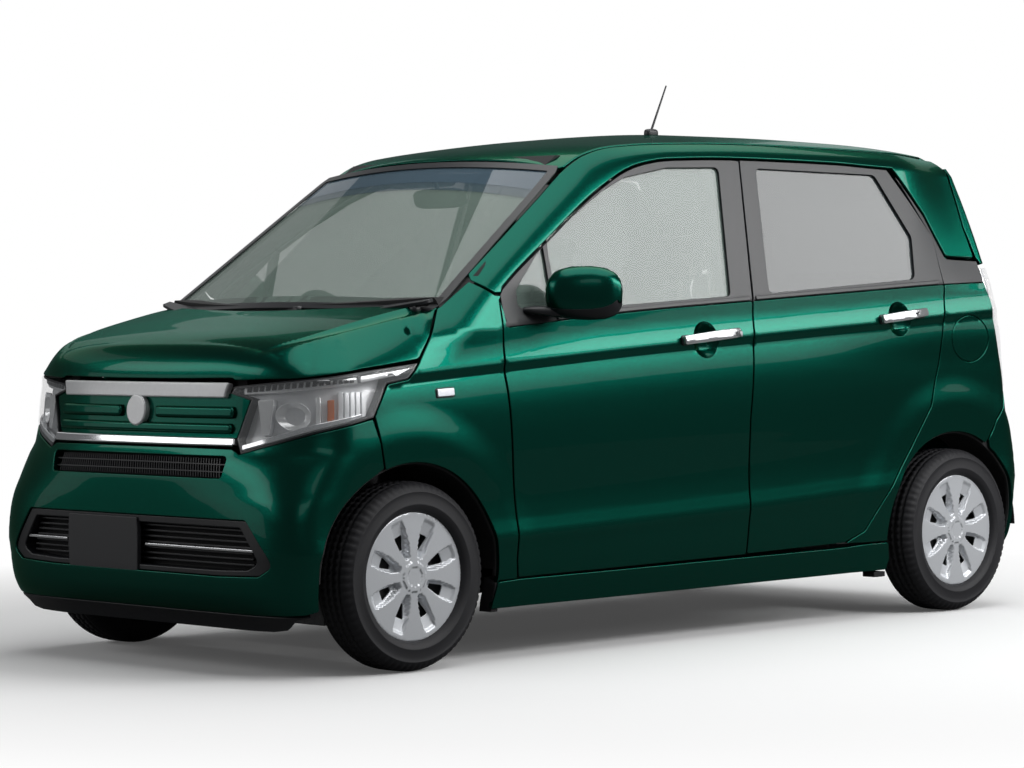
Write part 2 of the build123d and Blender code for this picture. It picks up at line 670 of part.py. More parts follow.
def build_inside():
    """Pillars between the doors, dashboard, steering wheel and seats."""
    post = lengthwise(
        outline(
            (-DOOR_INNER_HALF + 57.5, FLOOR_Z + FLOOR_THICK),
            (-DOOR_INNER_HALF + 7.5, FLOOR_Z + FLOOR_THICK),
            (-DOOR_INNER_HALF + 7.5, 930),
            (-DOOR_INNER_HALF + 7.5, 1000),
            (57 - RAIL_HALF, 1480),
            (94 - RAIL_HALF, 1536),
            (130 - RAIL_HALF, 1536),
            (100 - RAIL_HALF, 1480),
            (-DOOR_INNER_HALF + 57.5, 1000),
        ),
        1400,
        1500,
    )
    save("b_pillars", pair(post & prism(B_POST)))
    dash = across(outline(*DASHBOARD), TRIM_HALF)
    save("dashboard", dash - arches(APRON_THICK + 1))
    tilt = Location((640, STEERING_Y, 930), (0, 66, 0))
    ring = revolve(Plane.XZ * Pos(STEERING_RADIUS, 0) * RegularPolygon(14, 8), Axis.Z)
    hub = extrude(RegularPolygon(62, 16), 22, both=True)
    arms = [Rot(0, 0, a) * Pos(95, 0, 0) * Box(175, 30, 16) for a in (0, 90, 180)]
    column = Pos(0, 0, -100) * Cylinder(24, 200)
    wheel = tilt * (ring + hub + arms[0] + arms[1] + arms[2] + column)
    save("steering_wheel", wheel - dash)
    low = FLOOR_Z + FLOOR_THICK
    base = block((960, 1360), (-200, 200), (low, 405))
    seat = base + [across(outline(*steps), half) for steps, half in FRONT_SEAT]
    save("front_seats", pair(Pos(0, -SEAT_Y, 0) * seat))
    bench = outline((1880, 430), ((1895, 545), (1960, 560)), (2230, 530), (2230, 430))
    rest = outline((2160, 530), (2260, 530), (2400, 1060), ((2370, 1090), (2310, 1070)))
    foot = outline((1900, low), (1990, low), (2060, 420), (2100, 440), (1900, 440))
    seat = across(bench + rest + foot, TRIM_HALF)
    seat = Pos(WHEELBASE - 2520, 0, 0) * seat
    seat = seat - arches(APRON_THICK + 1) - nodes["floor_pan"] - nodes["quarter_panels"]
    save("rear_seat", seat - across(outline(*UNDERSIDE), HALF_WIDTH - 97.5))
    board = block((WHEELBASE - 235, TAIL - 170), (-EDGE, EDGE), (LOAD_FLOOR_Z, LOAD_BOARD_Z))
    board &= between(WHEELHOUSE_HALF_REAR - 40)
    save("load_board", fillet(board.edges().filter_by(Axis.Z), 30))
    leaves = []
    leaf_y = (-DOOR_INNER_HALF + SEAT_GAP, -DOOR_INNER_HALF + 7)
    for x, z in DOOR_LEAVES:
        leaves.append(block((x - 50, x + 40), leaf_y, (z, z + 80)))
    under_skin = across(outline(*inset(LOWER_SIDE, BONNET_THICK + SEAT_GAP)))
    leaves.append(block((100, 235.7), (-520, -480), (990, 1200)) & under_skin)
    under_roof = across(outline(*inset(CABIN_SIDE, SEAT_GAP))) & doubled(CABIN_HALF, grow=-SEAT_GAP)
    leaves.append(block((HINGE_X - 50, HINGE_X + 50), (-400, -360), (1540, 1620)) & under_roof)
    save("hinges", pair(Compound([solid for leaf in leaves for solid in leaf.solids()])))


def build_running_gear():
    """Engine block, suspension, axle, exhaust, fuel tank, hub carriers and wheels."""
    save("engine_block", block((-330, 70), (-330, 330), (330, 820)))
    arm = block((-25, 25), (360, TRACK / 2 - 32), (118, 134))
    beam = block((-60, 60), (-375, 375), (118, 190))
    posts = block((-40, 40), (-260, -200), (190, 330 - SEAT_GAP))
    strut_y = TRACK / 2 - 125
    perch = block((-20, 20), (strut_y - 25, TRACK / 2 - 32), (420, 432))
    perch += block((-12, 12), (WHEELHOUSE_HALF_FRONT + SEAT_GAP, strut_y - 5), (424, 560))
    perch += Pos(0, strut_y, 521) * Cylinder(28, 181)
    save("front_suspension", beam + arm + mirrored(arm) + perch + mirrored(perch) + posts + mirrored(posts))
    carrier = (
        Pos(0, 50 - TRACK / 2, 277) * Box(40, 36, 285.4)
        + Pos(0, 30 - TRACK / 2, AXLE_Z) * Rot(90, 0, 0) * Cylinder(48, 30)
        + Pos(0, -5 - TRACK / 2, AXLE_Z) * Rot(90, 0, 0) * Cylinder(STUB_RADIUS, 60)
    )
    save("knuckle_left", carrier)
    save("knuckle_right", mirrored(carrier))
    arm_y = TRACK / 2 - 155
    beam = block((WHEELBASE - 300, WHEELBASE - 230), (-arm_y, arm_y), (250, 330))
    arm = block((WHEELBASE - 380, WHEELBASE + 60), (arm_y - 55, arm_y), (240, 320))
    stub = Pos(WHEELBASE, TRACK / 2 - 95, AXLE_Z) * Rot(90, 0, 0) * Cylinder(40, 130)
    stub += Pos(WHEELBASE, TRACK / 2 - 10, AXLE_Z) * Rot(90, 0, 0) * Cylinder(STUB_RADIUS, 90)
    spring = Pos(WHEELBASE - 60, arm_y - 55, 399.85) * Cylinder(48, 159.7)
    save("rear_axle", beam + arm + mirrored(arm) + stub + mirrored(stub) + spring + mirrored(spring))
    front, back = WHEELBASE - 470, WHEELBASE - 320
    tank = outline((front, 235), (front, 440), (front + 62, 475), (back, 480 - SEAT_GAP), (back, 235))
    save("fuel_tank", across(tank, 330))
    muffler = WHEELBASE - 220
    pipe = tube(((80, -160, 182), (muffler + 5, -160, 182)), 20)
    hanger = block((1100, 1130), (-166, -154), (195, FLOOR_Z - SEAT_GAP))
    save("exhaust_pipe", (pipe + hanger) - block((muffler, TAIL), (-330, -120), (140, 240)))
    silencer = block((muffler, muffler + 360), (-330, -120), (140, 240))
    hanger = block((WHEELBASE - 40, WHEELBASE - 10), (-240, -200), (230, 480 - SEAT_GAP))
    save("silencer", fillet(silencer.edges().filter_by(Axis.X), 40) + hanger)
    wall, shoulder_y = TYRE_WIDTH / 2, TYRE_WIDTH / 2 - 19.5
    tyre_half = (
        (RIM_RADIUS, shoulder_y), (RIM_RADIUS + 8, wall - 5.5), (225, wall), (250, wall - 1), (266, wall - 5),
        (TYRE_RADIUS, shoulder_y),
    )
    tyre = outline(*((r, -y) for r, y in tyre_half), *reversed(tyre_half))
    rim = outline(
        (RIM_RADIUS - SEAT_GAP, -62), (RIM_RADIUS - SEAT_GAP, 62), (RIM_RADIUS - 14, 62), (RIM_RADIUS - 14, -40),
        (60, -40), (60, 5), (STUB_RADIUS + SEAT_GAP, 5), (STUB_RADIUS + SEAT_GAP, -62), (50, -65), (62, -61),
        (RIM_RADIUS - 12, -60), (RIM_RADIUS - 5, -64.5),
    )
    hole = extrude(Plane.XZ * make_face(Polyline(*COVER_HOLE, close=True)), 60, both=True)
    for axle, x in (("front", 0), ("rear", WHEELBASE)):
        tyre_ring = Pos(x, -TRACK / 2, AXLE_Z) * revolve(Plane.XY * tyre, Axis.Y)
        rim_disc = Pos(x, -TRACK / 2, AXLE_Z) * revolve(Plane.XY * rim, Axis.Y)
        for spoke in range(COVER_SPOKES):
            rim_disc -= Pos(x, -TRACK / 2 - 70, AXLE_Z) * Rot(0, (spoke + 0.5) * 360 / COVER_SPOKES, 0) * hole
        save(f"tyre_{axle}_left", tyre_ring)
        save(f"tyre_{axle}_right", mirrored(tyre_ring))
        save(f"rim_{axle}_left", rim_disc)
        save(f"rim_{axle}_right", mirrored(rim_disc))


def build_fittings():
    """Mirrors, handles, wipers and antenna."""
    housing = block((585, 700), (-HALF_WIDTH - 177.5, -HALF_WIDTH - 27.5), (1035, 1180))
    housing = fillet(housing.edges() | Axis.X, 44)
    housing = fillet(housing.faces().sort_by(Axis.X)[0].edges(), 30)
    foot = block((470, 640), (-HALF_WIDTH - 62.5, -HALF_WIDTH + 57.5), (1078, 1100))
    mirror_left = housing + foot
    for place, x, z in (("front", 1269, 953), ("rear", 2237, 1013)):
        out = -HALF_WIDTH - 32.5
        grip = block((x - 118, x + 118), (out, out + 18), (z - 14, z + 14))
        ends = block((x - 118, x - 88), (out + 10, out + 70), (z - 12, z + 12))
        ends += block((x + 88, x + 118), (out + 10, out + 70), (z - 12, z + 12))
        handle = grip + ends
        if place == "front":
            handle = handle + mirror_left
        for side, move in (("left", lambda item: item), ("right", mirrored)):
            door = nodes[f"door_{place}_{side}"]
            save(f"door_{place}_{side}_fittings", move(handle) - door - nodes[f"door_{place}_{side}_glass"])
    rod = tube(((1500, -250, 1628), (1577, -250, 1795)), 4)
    save("antenna", (rod + Pos(1500, -250, 1628) * Cylinder(16, 24)) - nodes["roof_panel"])


nodes = {}
os.makedirs("parts", exist_ok=True)
build_body()
build_inside()
build_running_gear()
build_fittings()
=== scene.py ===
"""Kei car: panels on one smooth body surface, with glass, lamps, wheels and cabin."""
import bpy
import numpy as np
from math import cos, hypot, pi, radians, sin
from mathutils import Matrix, Vector
from mathutils.geometry import delaunay_2d_cdt


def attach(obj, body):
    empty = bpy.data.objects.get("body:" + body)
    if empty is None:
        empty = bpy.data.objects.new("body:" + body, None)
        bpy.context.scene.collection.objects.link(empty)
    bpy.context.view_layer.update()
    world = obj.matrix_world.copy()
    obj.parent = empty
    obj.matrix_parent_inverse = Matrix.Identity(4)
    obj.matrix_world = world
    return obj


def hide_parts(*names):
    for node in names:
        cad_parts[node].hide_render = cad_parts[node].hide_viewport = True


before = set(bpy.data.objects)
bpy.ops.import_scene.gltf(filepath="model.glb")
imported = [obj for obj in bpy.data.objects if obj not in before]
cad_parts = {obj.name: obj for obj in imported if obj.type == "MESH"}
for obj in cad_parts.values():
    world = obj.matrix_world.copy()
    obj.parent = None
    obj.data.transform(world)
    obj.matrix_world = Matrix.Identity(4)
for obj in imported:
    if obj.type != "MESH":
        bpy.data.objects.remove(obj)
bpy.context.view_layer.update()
# Metres from the front axle back to the frame's origin, the wheelbase and half the width
MID, WHEELBASE, HALF_WIDTH = 1.2125, 2.52, .7375

# Materials

# The slot of each look, by its name
SLOTS = {}


def material(name, color, rough=.5, metal=0., coat=0., bump=.1, scale=400., vary=.06, alpha=1., slot="trim",
             **extra):
    """Principled material with fine noise in its colour, roughness and relief."""
    mat = bpy.data.materials.new(name)
    SLOTS[mat.name] = slot
    mat.use_nodes = True
    tree = mat.node_tree
    shader = tree.nodes["Principled BSDF"]
    coords = tree.nodes.new("ShaderNodeTexCoord")
    noise = tree.nodes.new("ShaderNodeTexNoise")
    noise.inputs["Scale"].default_value = scale
    noise.inputs["Detail"].default_value = 3
    tree.links.new(coords.outputs["Object"], noise.inputs["Vector"])
    ramp = tree.nodes.new("ShaderNodeValToRGB")
    ramp.color_ramp.elements[0].color = [c * (1 - vary) for c in color] + [1]
    ramp.color_ramp.elements[1].color = [min(c * (1 + vary), 1) for c in color] + [1]
    ramp.color_ramp.elements[0].position, ramp.color_ramp.elements[1].position = .3, .7
    tree.links.new(noise.outputs["Fac"], ramp.inputs["Fac"])
    tree.links.new(ramp.outputs["Color"], shader.inputs["Base Color"])
    if bump:
        relief = tree.nodes.new("ShaderNodeBump")
        relief.inputs["Strength"].default_value = bump
        relief.inputs["Distance"].default_value = .0004
        tree.links.new(noise.outputs["Fac"], relief.inputs["Height"])
        tree.links.new(relief.outputs["Normal"], shader.inputs["Normal"])
    shader.inputs["Roughness"].default_value = rough
    shader.inputs["Metallic"].default_value = metal
    shader.inputs["Coat Weight"].default_value = coat
    shader.inputs["Coat Roughness"].default_value = .02
    shader.inputs["Alpha"].default_value = alpha
    for key, value in extra.items():
        shader.inputs[key.replace("_", " ")].default_value = value
    return mat


def flakes(mat, scale=1600, amount=.25):
    """Metallic flakes: small cells that tilt the base's normal."""
    tree = mat.node_tree
    shader = tree.nodes["Principled BSDF"]
    coords = tree.nodes["Texture Coordinate"]
    cells = tree.nodes.new("ShaderNodeTexVoronoi")
    cells.inputs["Scale"].default_value = scale
    relief = tree.nodes.new("ShaderNodeBump")
    relief.inputs["Strength"].default_value = amount
    relief.inputs["Distance"].default_value = .0002
    tree.links.new(coords.outputs["Object"], cells.inputs["Vector"])
    tree.links.new(cells.outputs["Distance"], relief.inputs["Height"])
    tree.links.new(relief.outputs["Normal"], shader.inputs["Normal"])
    return mat


def woven(mat, scale=900):
    """Weave: two crossed wave patterns in relief."""
    tree = mat.node_tree
    shader = tree.nodes["Principled BSDF"]
    coords = tree.nodes["Texture Coordinate"]
    heights = []
    for axis in ("X", "Z"):
        wave = tree.nodes.new("ShaderNodeTexWave")
        wave.bands_direction = axis
        wave.inputs["Scale"].default_value = scale / 6
        tree.links.new(coords.outputs["Object"], wave.inputs["Vector"])
        heights.append(wave.outputs["Fac"])
    add = tree.nodes.new("ShaderNodeMath")
    add.operation = "ADD"
    for i, output in enumerate(heights):
        tree.links.new(output, add.inputs[i])
    relief = tree.nodes.new("ShaderNodeBump")
    relief.inputs["Strength"].default_value = .5
    relief.inputs["Distance"].default_value = .0008
    tree.links.new(add.outputs[0], relief.inputs["Height"])
    tree.links.new(relief.outputs["Normal"], shader.inputs["Normal"])
    return mat


PAINT = flakes(material("paint", (.0006, .080, .054), slot="paint", rough=.25, metal=.93, coat=.25,
    vary=.03, bump=0, Coat_IOR=1.5, Specular_Tint=(.10, .62, .46, 1)))
BLACK = material("satin_black", (.012, .013, .016), rough=.38, scale=900, bump=.08)
GLOSS_BLACK = material("gloss_black", (.006, .006, .008), rough=.08, coat=.6, scale=300, bump=.0)
RUBBER = material("rubber", (.010, .010, .012), rough=.72, scale=260, bump=.3)
TYRE = material("tyre_rubber", (.013, .013, .016), slot="tyre", rough=.62, scale=180, bump=.25, vary=.12)
BRIGHT = material("bright_trim", (.86, .87, .88), slot="chrome", rough=.28, metal=.35, scale=80, bump=.0,
    vary=.02, coat=.3)
CHROME = material("chrome", (.86, .87, .89), slot="chrome", rough=.11, metal=.86, scale=80, bump=.0,
    vary=.02)
SATIN = material("satin_silver", (.50, .51, .54), rough=.26, metal=.9, scale=500, bump=.03)
SILVER = flakes(material("wheel_silver", (.74, .765, .80), slot="wheel_cover", rough=.36, metal=.30,
    coat=.5, bump=0, vary=.03), 1400, .12)
GLASS = material("clear_glass", (.33, .45, .39), slot="glass", rough=.0, scale=3, bump=0, alpha=.30,
    IOR=1.9)
# Front side glass: a darker, more opaque copy of the clear glass, painted shade that stands in for the dark
# view through the side windows
SHADED_SIDE_GLASS = material("side_glass_painted_shade", (.22, .29, .26), slot="glass", rough=.0, scale=3, bump=0, alpha=.52,
    IOR=1.6)
TINTED = material("dark_glass", (.055, .065, .068), slot="privacy_glass", rough=.0, scale=3, bump=0,
    alpha=.72, IOR=1.5)
SHADE = material("shade_band", (.085, .14, .185), slot="glass", rough=.0, scale=3, bump=0, alpha=.70,
    IOR=1.5)
SHADE_EDGE = material("shade_edge", (.085, .14, .185), slot="glass", rough=.0, scale=3, bump=0, alpha=.32,
    IOR=1.5)
# Clear lens whose pale colour lays a faint veil over it: painted sheen, on top of the lens's real
# reflection
LENS_PAINTED_SHEEN = material("lens", (.75, .78, .80), slot="lamp", rough=.0, scale=3, bump=0, alpha=.10, IOR=1.7)
LAMP_CHROME = material("lamp_chrome", (.93, .94, .95), slot="lamp", rough=.20, metal=.45, scale=60,
    bump=.05, vary=.04)
PLATE = material("plate_grey", (.035, .036, .040), rough=.45, scale=500, bump=.1)
LAMP_GREY = material("lamp_grey", (.84, .85, .87), slot="lamp", rough=.25, metal=.30, scale=200, bump=.02)
AMBER = material("amber", (.55, .13, .015), slot="lamp", rough=.12, scale=200, bump=.1, coat=.5)
RED = material("red_lens", (.35, .006, .008), slot="lamp", rough=.08, scale=200, bump=.05, coat=.8)
CABIN = material("cabin_plastic", (.050, .050, .054), slot="cabin_plastic", rough=.55, scale=700, bump=.5,
    vary=.1)
CABIN_PALE = material("cabin_cloth", (.32, .31, .29), slot="seat_fabric", rough=.8, scale=900, bump=.5,
    vary=.1)
FABRIC = woven(material("seat_cloth", (.085, .085, .09), slot="seat_fabric", rough=.85, vary=.15, scale=900,
    Sheen_Weight=.3))
CARPET = material("carpet", (.030, .030, .032), rough=.95, scale=1500, bump=1., vary=.3)
STEEL = material("steel", (.23, .23, .24), slot="steel", rough=.42, metal=.8, scale=120, bump=.3, vary=.15)
CAST = material("cast", (.07, .07, .072), slot="wheel_cover", rough=.7, metal=.4, scale=150, bump=.8,
    vary=.2)
UNDER = material("underbody", (.012, .012, .013), slot="under", rough=.75, scale=90, bump=.4, vary=.2)
JAMB = material("jamb_paint", (.002, .045, .028), slot="paint", rough=.35, metal=.5, coat=.6, scale=600,
    bump=.02)

# Surfaces


def smooth(table):
    """Monotone cubic through a table."""
    xs, ys = (np.array(c, float) for c in zip(*table))
    d = np.diff(ys) / np.diff(xs)
    m = np.zeros(len(xs))
    m[0], m[-1] = d[0], d[-1]
    for i in range(1, len(xs) - 1):
        if d[i - 1] * d[i] > 0:
            h0, h1 = xs[i] - xs[i - 1], xs[i + 1] - xs[i]
            w0, w1 = 2 * h1 + h0, h1 + 2 * h0
            m[i] = (w0 + w1) / (w0 / d[i - 1] + w1 / d[i])

    def value(x):
        x = np.clip(np.asarray(x, float), xs[0], xs[-1])
        i = np.clip(np.searchsorted(xs, x) - 1, 0, len(xs) - 2)
        h = xs[i + 1] - xs[i]
        t = (x - xs[i]) / h
        return (ys[i] * (1 + 2 * t) * (1 - t) ** 2 + h * m[i] * t * (1 - t) ** 2
                + ys[i + 1] * t * t * (3 - 2 * t) + h * m[i + 1] * t * t * (t - 1))
    return value


def ease(t):
    """Smooth step from 0 to 1."""
    t = np.clip(t, 0, 1)
    return t * t * (3 - 2 * t)


# Heights of the lines along the side, by station
CREASE = smooth([(-.5, .835), (-.2, .858), (.345, .896), (.88, .933), (1.456, .966), (2.078, 1.0),
    (2.709, 1.038), (2.95, 1.05)])
BELT = smooth([(-.5, .93), (.367, 1.003), (.906, 1.045), (1.484, 1.076), (2.109, 1.108), (2.453, 1.125),
    (2.95, 1.14)])
LINE = smooth([(-.5, .355), (.327, .380), (1.437, .416), (2.1, .445), (2.95, .47)])
# Half width by height: 0 is the sill's foot, 1 the lower line, 2 the crease, 3 the belt
SECTION = smooth([(0, .700), (.45, .7215), (.85, .7335), (.93, .7366), (.97, .7375), (1.0, .7372),
    (1.04, .7350), (1.1, .7315), (1.2, .7295), (1.35, .7325), (1.5, .7360), (1.62, .7370), (1.69, .7366),
    (1.74, .7358), (1.78, .7346), (1.82, .7328), (1.86, .7302), (1.90, .7268), (1.93, .7238),
    (1.9445, .7224), (1.96, .7236), (1.985, .7256), (1.995, .7257), (2.08, .7235), (2.2, .7200),
    (2.35, .7162), (2.5, .7131), (2.6, .7115), (2.8, .7096), (3.0, .708)])
LEAN = .2545
# The side's upper inner edge: bonnet shut line, windscreen edge and roof groove
TOP_Z = smooth([(-.45, .93), (-.30, .962), (-.215, .984), (-.036, 1.020), (.10, 1.047), (.17, 1.068),
    (.295, 1.158), (.48, 1.284), (.64, 1.393), (.797, 1.497), (.88, 1.538), (1.0, 1.566), (1.25, 1.583),
    (1.6, 1.590), (2.2, 1.583), (2.6, 1.568), (2.8, 1.555)])
TOP_Y = smooth([(-.45, .58), (-.215, .600), (-.036, .620), (.10, .634), (.17, .638), (.295, .622),
    (.48, .595), (.64, .572), (.797, .549), (1.0, .545), (1.6, .545), (2.3, .545), (2.8, .53)])
DOOR_TOP = smooth([(-.45, .84), (.0, .875), (.15, .90), (.25, .98), (.32, 1.05), (.393, 1.114),
    (.64, 1.276), (.85, 1.406), (.94, 1.452), (1.018, 1.487), (1.10, 1.51), (1.217, 1.526), (1.551, 1.535),
    (2.018, 1.530), (2.2, 1.522), (2.8, 1.50)])
RAKE = smooth([(1.1, 0), (1.2, .010), (1.3, .018), (1.4, .028), (1.5, .040), (1.6, .050)])
FRONT_ARCH, REAR_ARCH = (-.015, .268), (2.49, .27)
ARCHES = ((*FRONT_ARCH, .52), (*REAR_ARCH, .55))


def tuck(x, z):
    """How far the upper rear corner is drawn in."""
    return RAKE(z) * ease((np.asarray(x, float) - 2.35) / .36)


def half_width(x, z):
    """Distance of the body's side from the middle."""
    x, z = np.broadcast_arrays(np.asarray(x, float), np.asarray(z, float))
    c, b, low, top, door = CREASE(x), BELT(x), LINE(x), TOP_Z(x), DOOR_TOP(x)
    s = np.where(z < low, (z - .16) / (low - .16), np.where(z < c, 1 + (z - low) / (c - low),
        2 + (z - c) / (b - c)))
    y = np.where(z > b, .708 - (z - b) * LEAN, SECTION(s))
    q = np.clip((z - door) / np.maximum(top - door, .01), 0, 1.3)
    edge = np.where(top > b, .708 - (top - b) * LEAN, SECTION(2 + (top - c) / (b - c)))
    y = y - np.maximum(edge - TOP_Y(x), 0) * q**2
    for wheel, height, radius in ARCHES:
        r = np.hypot(x - wheel, z - height)
        near = ease(1 - np.abs(x - wheel) / .85) * ease((1.0 - z) / .15)
        y = y - .011 * near + .011 * near * ease((radius - r) / .115)
    return y - tuck(x, z)


X_FRONT, X_REAR = -.185, 2.71
FRONT_POWER = smooth([(.14, 6.5), (.30, 6.3), (.40, 6.6), (.45, 6.2), (.50, 5.2), (.54, 4.2), (.58, 3.5),
    (.62, 3.0), (.66, 2.6), (1.0, 2.6)])
REAR_POWER = smooth([(.2, 5.0), (.5, 5.0), (.75, 4.2), (1.0, 3.2), (1.1, 2.9), (1.5, 2.8)])
NOSE = smooth([(.13, -.41), (.165, -.430), (.185, -.452), (.21, -.469), (.25, -.481), (.30, -.485),
    (.335, -.485), (.56, -.485), (.64, -.479), (.70, -.463), (.80, -.455), (.86, -.447), (.90, -.42)])
TAIL = smooth([(.20, 2.86), (.24, 2.885), (.30, 2.905), (.34, 2.91), (.52, 2.91), (.60, 2.895),
    (.65, 2.872), (.68, 2.850), (.76, 2.844), (.96, 2.822), (1.12, 2.792), (1.30, 2.780), (1.50, 2.765),
    (1.62, 2.755)])


def arc_table(length, width, power):
    """Angle round a corner against arc length left to its side."""
    angle = np.linspace(0, pi / 2, 4001)
    x, y = length * np.cos(angle) ** (2 / power), width * np.sin(angle) ** (2 / power)
    arc = np.concatenate([[0], np.cumsum(np.hypot(np.diff(x), np.diff(y)))])
    return angle[::-1], (arc[-1] - arc)[::-1]


POWERS = np.linspace(2.6, 6.6, 9)
FRONT_TABLES = [arc_table(.30, HALF_WIDTH, power) for power in POWERS]
FRONT_ARC = FRONT_TABLES[0][1]


def front_angle(a, z):
    """Angle round the front corner: the share of the arc that lies ahead of a is the same at any height."""
    share = np.clip((X_FRONT - a) / FRONT_ARC[-1], 0, 1)
    angles = [np.interp(share * arc[-1], arc, angle) for angle, arc in FRONT_TABLES]
    place = (FRONT_POWER(z) - POWERS[0]) / (POWERS[1] - POWERS[0])
    low = np.clip(place.astype(int), 0, len(POWERS) - 2)
    part = place - low
    return np.choose(low, angles[:-1]) * (1 - part) + np.choose(low, angles[1:]) * part


REAR_ANGLE, REAR_ARC = arc_table(.20, HALF_WIDTH, 5.0)
A_NOSE = X_FRONT - FRONT_ARC[-1]
A_TAIL = X_REAR + REAR_ARC[-1]


def outer(a, z):
    """Point on the body. On the side a is the station; it goes on round the corners by arc length."""
    a, z = np.broadcast_arrays(np.asarray(a, float), np.asarray(z, float))
    side = np.where((a < A_NOSE) | (a > A_TAIL), -1., 1.)
    a = np.where(a < A_NOSE, 2 * A_NOSE - a, np.where(a > A_TAIL, 2 * A_TAIL - a, a))
    x, y = a.copy(), half_width(a, z)
    angle = front_angle(a, z)
    x = np.where(a < X_FRONT, X_FRONT - (X_FRONT - NOSE(z)) * np.cos(angle) ** (2 / FRONT_POWER(z)), x)
    y = np.where(a < X_FRONT, half_width(X_FRONT, z) * np.sin(angle) ** (2 / FRONT_POWER(z)), y)
    angle = np.interp(a - X_REAR, REAR_ARC, REAR_ANGLE)
    x = np.where(a > X_REAR, X_REAR + (TAIL(z) - X_REAR) * np.cos(angle) ** (2 / REAR_POWER(z)), x)
    y = np.where(a > X_REAR, half_width(X_REAR, z) * np.sin(angle) ** (2 / REAR_POWER(z)), y)
    x = x - tuck(a, z)
    return np.stack([x, -y * side, z], -1)


SLOPE = radians(34.3)


def screen(y, s):
    """Windscreen: y across, s up the slope from its foot."""
    y, s = np.broadcast_arrays(np.asarray(y, float), np.asarray(s, float))
    back = .163 * y**2
    return np.stack([.062 + s * cos(SLOPE) + back * sin(SLOPE), y,
        1.06 + s * sin(SLOPE) - back * cos(SLOPE)], -1)


ROOF_MIDDLE = smooth([(.70, 1.510), (.77, 1.546), (1.0, 1.587), (1.25, 1.616), (1.55, 1.635), (1.9, 1.636),
                      (2.3, 1.629), (2.55, 1.619), (2.75, 1.597)])


def roof(x, y):
    """Roof: highest along the middle, falling to the grooves."""
    x, y = np.broadcast_arrays(np.asarray(x, float), np.asarray(y, float))
    middle = ROOF_MIDDLE(x)
    half = TOP_Y(x) - tuck(x, TOP_Z(x))
    return np.stack([x, y, middle - (middle - TOP_Z(x)) * (np.abs(y) / half) ** 2.5], -1)


def lowered(surface, depth, h=1e-4):
    """The same surface, moved inward."""
    return lambda a, b: surface(a, b) - normal(surface, a, b, h) * depth


def normal(surface, a, b, h=1e-4):
    """Outward unit normal of a surface."""
    n = np.cross(surface(a + h, b) - surface(a - h, b), surface(a, b + h) - surface(a, b - h))
    return n / np.maximum(np.linalg.norm(n, axis=-1, keepdims=True), 1e-12)

# Mesh helpers


def rounded(points, count=6):
    """Closed outline. A third number on a point rounds that corner."""
    out = []
    for i, p in enumerate(points):
        if len(p) < 3 or p[2] == 0:
            out.append(p[:2])
            continue
        here = Vector(p[:2])
        before = Vector(points[i - 1][:2]) - here
        after = Vector(points[(i + 1) % len(points)][:2]) - here
        half = before.angle(after) / 2
        reach = min(p[2] / max(abs(np.tan(half)), .05), before.length * .48, after.length * .48)
        a, b = here + before.normalized() * reach, here + after.normalized() * reach
        for k in range(count + 1):
            t = k / count
            q = a * (1 - t) ** 2 + here * 2 * t * (1 - t) + b * t * t
            out.append((q.x, q.y))
    return out


def resampled(points, gap):
    """The same closed outline with points no farther apart than the gap."""
    out = []
    for p, q in zip(points, points[1:] + points[:1]):
        n = max(1, int(np.ceil(hypot(q[0] - p[0], q[1] - p[1]) / gap)))
        out += [(p[0] + (q[0] - p[0]) * k / n, p[1] + (q[1] - p[1]) * k / n) for k in range(n)]
    kept = [p for i, p in enumerate(out) if hypot(p[0] - out[i - 1][0], p[1] - out[i - 1][1]) > 4e-4]
    return np.array(kept)


def area(loop):
    """Signed area of a closed loop."""
    x, y = loop[:, 0], loop[:, 1]
    return .5 * np.sum(x * np.roll(y, -1) - np.roll(x, -1) * y)


def shifted(loop, amount):
    """A closed loop moved to its left, which is inward where it runs anticlockwise."""
    d0 = loop - np.roll(loop, 1, 0)
    d1 = np.roll(loop, -1, 0) - loop
    n0 = np.stack([-d0[:, 1], d0[:, 0]], -1) / np.linalg.norm(d0, axis=1, keepdims=True)
    n1 = np.stack([-d1[:, 1], d1[:, 0]], -1) / np.linalg.norm(d1, axis=1, keepdims=True)
    s = n0 + n1
    return loop + s * (2 * amount / np.maximum((s**2).sum(1, keepdims=True), 1.2))


def inside(points, loop):
    """Even-odd test of points against a closed loop."""
    x, y = points[:, 0:1], points[:, 1:2]
    x0, y0 = loop[:, 0], loop[:, 1]
    x1, y1 = np.roll(x0, -1), np.roll(y0, -1)
    cross = ((y0 > y) != (y1 > y)) & (x < (x1 - x0) * (y - y0) / np.where(y1 == y0, 1e-12, y1 - y0) + x0)
    return cross.sum(1) % 2 == 1


def distance(points, loop):
    """Distance of points to a closed loop."""
    a, b = loop, np.roll(loop, -1, 0)
    best = np.full(len(points), 9.)
    for p, q in zip(a, b):
        d = q - p
        t = np.clip(((points - p) @ d) / max(d @ d, 1e-12), 0, 1)
        best = np.minimum(best, np.linalg.norm(points - p - t[:, None] * d, axis=1))
    return best


def piece(name, shape, look, body="body", slot=None, replaces=()):
    """Mesh object on a body, from verts, faces and maybe normals. Stations become the frame's x."""
    verts, faces, normals = (*shape, None)[:3]
    mesh = bpy.data.meshes.new(name)
    mesh.from_pydata((np.asarray(verts, float) - (MID, 0, 0)).tolist(), [],
        [list(map(int, f)) for f in faces])
    mesh.polygons.foreach_set("use_smooth", [True] * len(mesh.polygons))
    mesh.materials.append(look)
    if normals is not None:
        mesh.normals_split_custom_set([tuple(n) for n in normals])
    obj = bpy.data.objects.new(name, mesh)
    bpy.context.scene.collection.objects.link(obj)
    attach(obj, body)
    slot = slot or SLOTS[look.name]
    if replaces:
        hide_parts(*replaces)
    return obj


